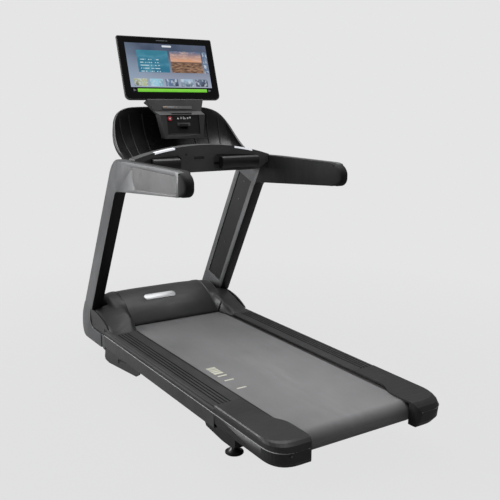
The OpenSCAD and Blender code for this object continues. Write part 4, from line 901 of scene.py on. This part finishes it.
flat_piece("neck_ledge", "ledge", [rounded(0.170, 0.016, 0.003, 4, (0.000, 0.020))], on_neck, -0.002, 0.0032, 0.0014)
flat_piece("neck_mark", "amber", [rounded(0.012, 0.004, 0.0018, 4, (-0.072, 0.022))], on_neck, 0.001, 0.0036, 0.0002)
flat_piece("neck_seam", "rubber", [rounded(0.230, 0.0012, 0.0005, 3, (0, 0.0045))], on_neck, -0.002, 0.0004, 0.0001)


BAR_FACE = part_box("crossbar")[0].y


def on_bar(u, v, n):
    return (u, BAR_FACE - n, v)


# Dark flat patches in place of the slot and the hole: painted shade.
flat_piece("crossbar_slot", "rubber",
           [rounded(0.056, 0.013, 0.004, 4, (-0.036, 1.153)), rounded(0.011, 0.011, 0.0053, 6, (-0.108, 1.171))],
           on_bar, -0.003, 0.0003, 0.0001)
flat_piece("crossbar_slot_lip", "tab",
           [rounded(0.062, 0.0022, 0.001, 3, (-0.036, 1.1448)), rounded(0.062, 0.0018, 0.0008, 3, (-0.036, 1.1614))],
           on_bar, -0.003, 0.0009, 0.0004)

# ---------------------------------------------------------------- the tray
cup_low, cup_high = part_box("bottle_cups")
REAR_EDGE = 1.037                            # the tray is measured from the machine's rear end
FLOOR_Z = 1.118
CUP_HOLE = 0.0433
tray_rim = [(0, 1.674, 1.390), (0.100, 1.674, 1.390), (0.170, 1.672, 1.389), (0.222, 1.667, 1.386),
            (0.266, 1.656, 1.376), (0.303, 1.640, 1.356), (0.330, 1.616, 1.324), (0.347, 1.584, 1.284),
            (0.359, 1.545, 1.238), (0.3655, 1.500, 1.199), (0.3685, 1.452, 1.172), (0.3705, 1.400, 1.157),
            (0.3715, 1.350, 1.1515), (0.3715, 1.300, 1.150), (0.371, 1.262, 1.149)]
tray_foot = [(0, 1.568), (0.090, 1.568), (0.150, 1.566), (0.200, 1.560), (0.240, 1.549), (0.274, 1.532),
             (0.302, 1.506), (0.320, 1.474), (0.331, 1.440), (0.337, 1.406), (0.340, 1.374), (0.3405, 1.346),
             (0.3405, 1.318), (0.3405, 1.290), (0.3405, 1.258)]


def spline(points, n):
    """Catmull-Rom curve, n steps between neighbouring points."""
    out = []
    for k in range(len(points) - 1):
        p0, p1, p2, p3 = (Vector(points[max(k - 1, 0)]), Vector(points[k]), Vector(points[k + 1]),
                          Vector(points[min(k + 2, len(points) - 1)]))
        for q in range(n):
            t = q / n
            out.append(0.5 * (2 * p1 + (p2 - p0) * t + (2 * p0 - 5 * p1 + 4 * p2 - p3) * t * t
                              + (3 * p1 - p0 - 3 * p2 + p3) * t ** 3))
    return out + [Vector(points[-1])]


def wall(low, high, out, bulge, drop, calm, steps):
    """Points of a dished wall between two edges; calm scales the bulge where the wall is low."""
    points = []
    for t in steps:
        swell = bulge * math.sin(math.pi * t) * calm
        points.append(low.lerp(high, t) + Vector((out.x, out.y, drop)) * swell)
    return points


def tray_section(k, top, foot):
    """One cross-section: outer wall up, rolled lip, inner wall down."""
    a, b = top[k], foot[k]
    run = top[min(k + 1, len(top) - 1)] - top[max(k - 1, 0)]
    out = Vector((-run.y, run.x, 0))
    if k == 0:
        out = Vector((0, 1, 0))
    else:
        out = (-out if out.x * a.x + out.y * (a.y - 1.35) < 0 else out).normalized()
    full, deep = min(1.0, (a.z - b.z) / 0.2), a.y > 1.42
    ring = wall(b, a, out, 0.030, -0.35, full * (1 if deep else 0.15), [i / 8 for i in range(9)])
    for n, z in ((-0.0010, 0.0030), (-0.0045, 0.0048), (-0.0090, 0.0042), (-0.0120, 0.0010)):
        ring.append(a + Vector((out.x * n, out.y * n, z * min(1, max(0.12, (a.z - 1.150) / 0.05)))))
    inner_top = a - Vector((out.x, out.y, 0)) * 0.0125 - Vector((0, 0, 0.003))
    inner_low = b - Vector((out.x, out.y, 0)) * 0.013 + Vector((0, 0, 0.010))
    ring += wall(inner_top, inner_low, out, 0.026, -0.30, full * (1 if deep else 0.1), [i / 10 for i in range(1, 11)])
    return [Vector((p.x, p.y - REAR_EDGE, p.z)) for p in ring]


def tray_piece():
    """Moulded bowl: rolled rim, dished walls, flat floor with two holes for the cups."""
    top, foot = spline(tray_rim, 4), spline([(x, y, FLOOR_Z) for x, y in tray_foot], 4)
    rings = [tray_section(k, top, foot) for k in range(len(top))]
    # Moulded ridges that run down the inner wall and out over the floor, in the lighter rim plastic: painted
    # highlight on the moulding
    for tag, r in (("a", 7), ("b", 13), ("c", 19)):
        path = [p + Vector((0, -0.001, 0.001)) for p in rings[r][13:23]]
        last = path[-1]
        path += [Vector((last.x * 0.985, last.y - 0.020, 1.1290)), Vector((last.x * 0.93, last.y - 0.085, 1.1285))]
        for hand, side_sign in (("left", -1), ("right", 1)):
            tube(f"tray_ridge_{tag}_{hand}", [(q.x * side_sign, q.y, q.z) for q in path], 0.0040, "rim")
    bm = bmesh.new()
    rows = []
    for side_sign in (1, -1):
        source = rings if side_sign == 1 else rings[1:]
        part = [[bm.verts.new((p.x * side_sign, p.y, p.z)) for p in ring] for ring in source]
        rows = (part[::-1] + rows) if side_sign == -1 else rows + part
    for a, b in zip(rows, rows[1:]):
        for i in range(len(a) - 1):
            bm.faces.new((a[i], b[i], b[i + 1], a[i + 1]))
    # Floors: strips from each side to the other, and the closing edge towards the crossbar
    half = len(rows) // 2
    for level in (0, -1):
        for k in range(half):
            a, b = rows[half - k][level], rows[half - k - 1][level]
            c, d = rows[half + k + 1][level], rows[half + k][level]
            bm.faces.new((a, b, c, d) if k else (a, b, c))
    for end in (rows[0], rows[-1]):
        for i in range(len(end) // 2):
            quad = list(dict.fromkeys([end[i], end[i + 1], end[-i - 2], end[-i - 1]]))
            if len(quad) > 2:
                bm.faces.new(quad)
    bm.faces.new((rows[0][0], rows[-1][0], rows[-1][-1], rows[0][-1]))
    bmesh.ops.remove_doubles(bm, verts=bm.verts, dist=0.00002)
    bmesh.ops.recalc_face_normals(bm, faces=bm.faces)
    piece = piece_from("tray_bowl", bm, "tray", smooth=50)
    # Round holes for the cups
    for sign in (-1, 1):
        cutter_mesh = bpy.data.meshes.new("hole")
        cutter_bm = bmesh.new()
        cx = sign * (cup_high.x - (cup_high.y - cup_low.y) / 2)
        cy = (cup_low.y + cup_high.y) / 2
        bmesh.ops.create_cone(cutter_bm, cap_ends=True, segments=64, radius1=CUP_HOLE, radius2=CUP_HOLE,
                              depth=0.1, matrix=Matrix.Translation((cx, cy, 1.12)))
        cutter_bm.to_mesh(cutter_mesh)
        cutter_bm.free()
        cutter = bpy.data.objects.new("hole", cutter_mesh)
        scene.collection.objects.link(cutter)
        cut = piece.modifiers.new("cut", "BOOLEAN")
        cut.operation, cut.object, cut.solver = "DIFFERENCE", cutter, "EXACT"
        bpy.context.view_layer.update()
        done = bpy.data.meshes.new_from_object(piece.evaluated_get(bpy.context.evaluated_depsgraph_get()))
        piece.modifiers.clear()
        piece.data = done
        bpy.data.objects.remove(cutter)
    piece.data.set_sharp_from_angle(angle=math.radians(50))
    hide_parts("console_tray")


tray_piece()

# ------------------------------------------------------------ soften nodes
for name, width in soft_edge.items():
    if not nodes[name].hide_render:
        soften(nodes[name], width)

# ------------------------------------------------------------------- stage
PAPER = (0.783, 0.783, 0.787, 1)


def stage_material():
    """Floor paper that fades, as the camera sees it, into the paper behind."""
    g = Graph("floor_paper")
    x, y, z = g.where()
    far = g.math("SQRT", g.math("ADD", g.math("MULTIPLY", x, x), g.math("MULTIPLY", y, y)))
    fade = g.remap(far, 0.93, 1, 1.2, 3.2)
    grain = g.noise(90, 4)
    g.link(g.mix(g.remap(grain, 0, 1), (0.24, 0.24, 0.243, 1), (0.27, 0.27, 0.273, 1)), g.bsdf.inputs["Base Color"])
    g.bsdf.inputs["Roughness"].default_value = 0.9
    g.bsdf.inputs["Specular IOR Level"].default_value = 0.1
    glow = g.node("ShaderNodeEmission")
    glow.inputs["Color"].default_value = PAPER
    direct = g.node("ShaderNodeLightPath").outputs["Is Camera Ray"]
    blend = g.node("ShaderNodeMixShader")
    g.link(g.math("MULTIPLY", fade, direct), blend.inputs[0])
    g.link(g.bsdf.outputs[0], blend.inputs[1])
    g.link(glow.outputs[0], blend.inputs[2])
    g.link(blend.outputs[0], g.tree.nodes["Material Output"].inputs["Surface"])
    return g.mat


floor_mesh = bpy.data.meshes.new("floor")
bm = bmesh.new()
bmesh.ops.create_circle(bm, cap_ends=True, segments=96, radius=40)
bm.to_mesh(floor_mesh)
bm.free()
floor = bpy.data.objects.new("floor", floor_mesh)
floor.location.z = -0.0005
scene.collection.objects.link(floor)
floor_mesh.materials.append(stage_material())

world = bpy.data.worlds.new("world")
scene.world = world
world.use_nodes = True
sky = world.node_tree
back = sky.nodes["Background"]
back.inputs["Color"].default_value = (0.80, 0.80, 0.81, 1)
back.inputs["Strength"].default_value = 0.20
paper = sky.nodes.new("ShaderNodeBackground")
paper.inputs["Color"].default_value = PAPER
seen = sky.nodes.new("ShaderNodeLightPath")
choose = sky.nodes.new("ShaderNodeMixShader")
sky.links.new(seen.outputs["Is Camera Ray"], choose.inputs[0])
sky.links.new(back.outputs[0], choose.inputs[1])
sky.links.new(paper.outputs[0], choose.inputs[2])
sky.links.new(choose.outputs[0], sky.nodes["World Output"].inputs["Surface"])


def softbox(name, place, aim, size, watts, mirrored=True):
    """Soft rectangular light; one that isn't mirrored gives no highlights."""
    data = bpy.data.lights.new(name, "AREA")
    data.shape = "RECTANGLE"
    data.size, data.size_y = size
    data.energy = watts
    light = bpy.data.objects.new(name, data)
    scene.collection.objects.link(light)
    light.location = place
    light.visible_glossy = mirrored
    light.rotation_euler = (Vector(aim) - Vector(place)).to_track_quat("-Z", "Y").to_euler()


softbox("key", (-3.4, 2.6, 2.0), (0, 0.3, 0.8), (2.4, 2.6), 185)
softbox("right", (3.8, -0.9, 2.0), (0, 0.0, 0.4), (2.0, 2.4), 42, False)
softbox("top", (0.3, 0.4, 4.2), (0, 0.0, 0.3), (3.0, 3.4), 135)
softbox("front", (2.3, 4.2, 2.4), (0.1, 0.0, 0.3), (3.2, 2.0), 100, False)
scene.view_settings.view_transform = "Standard"
scene.view_settings.look = "None"
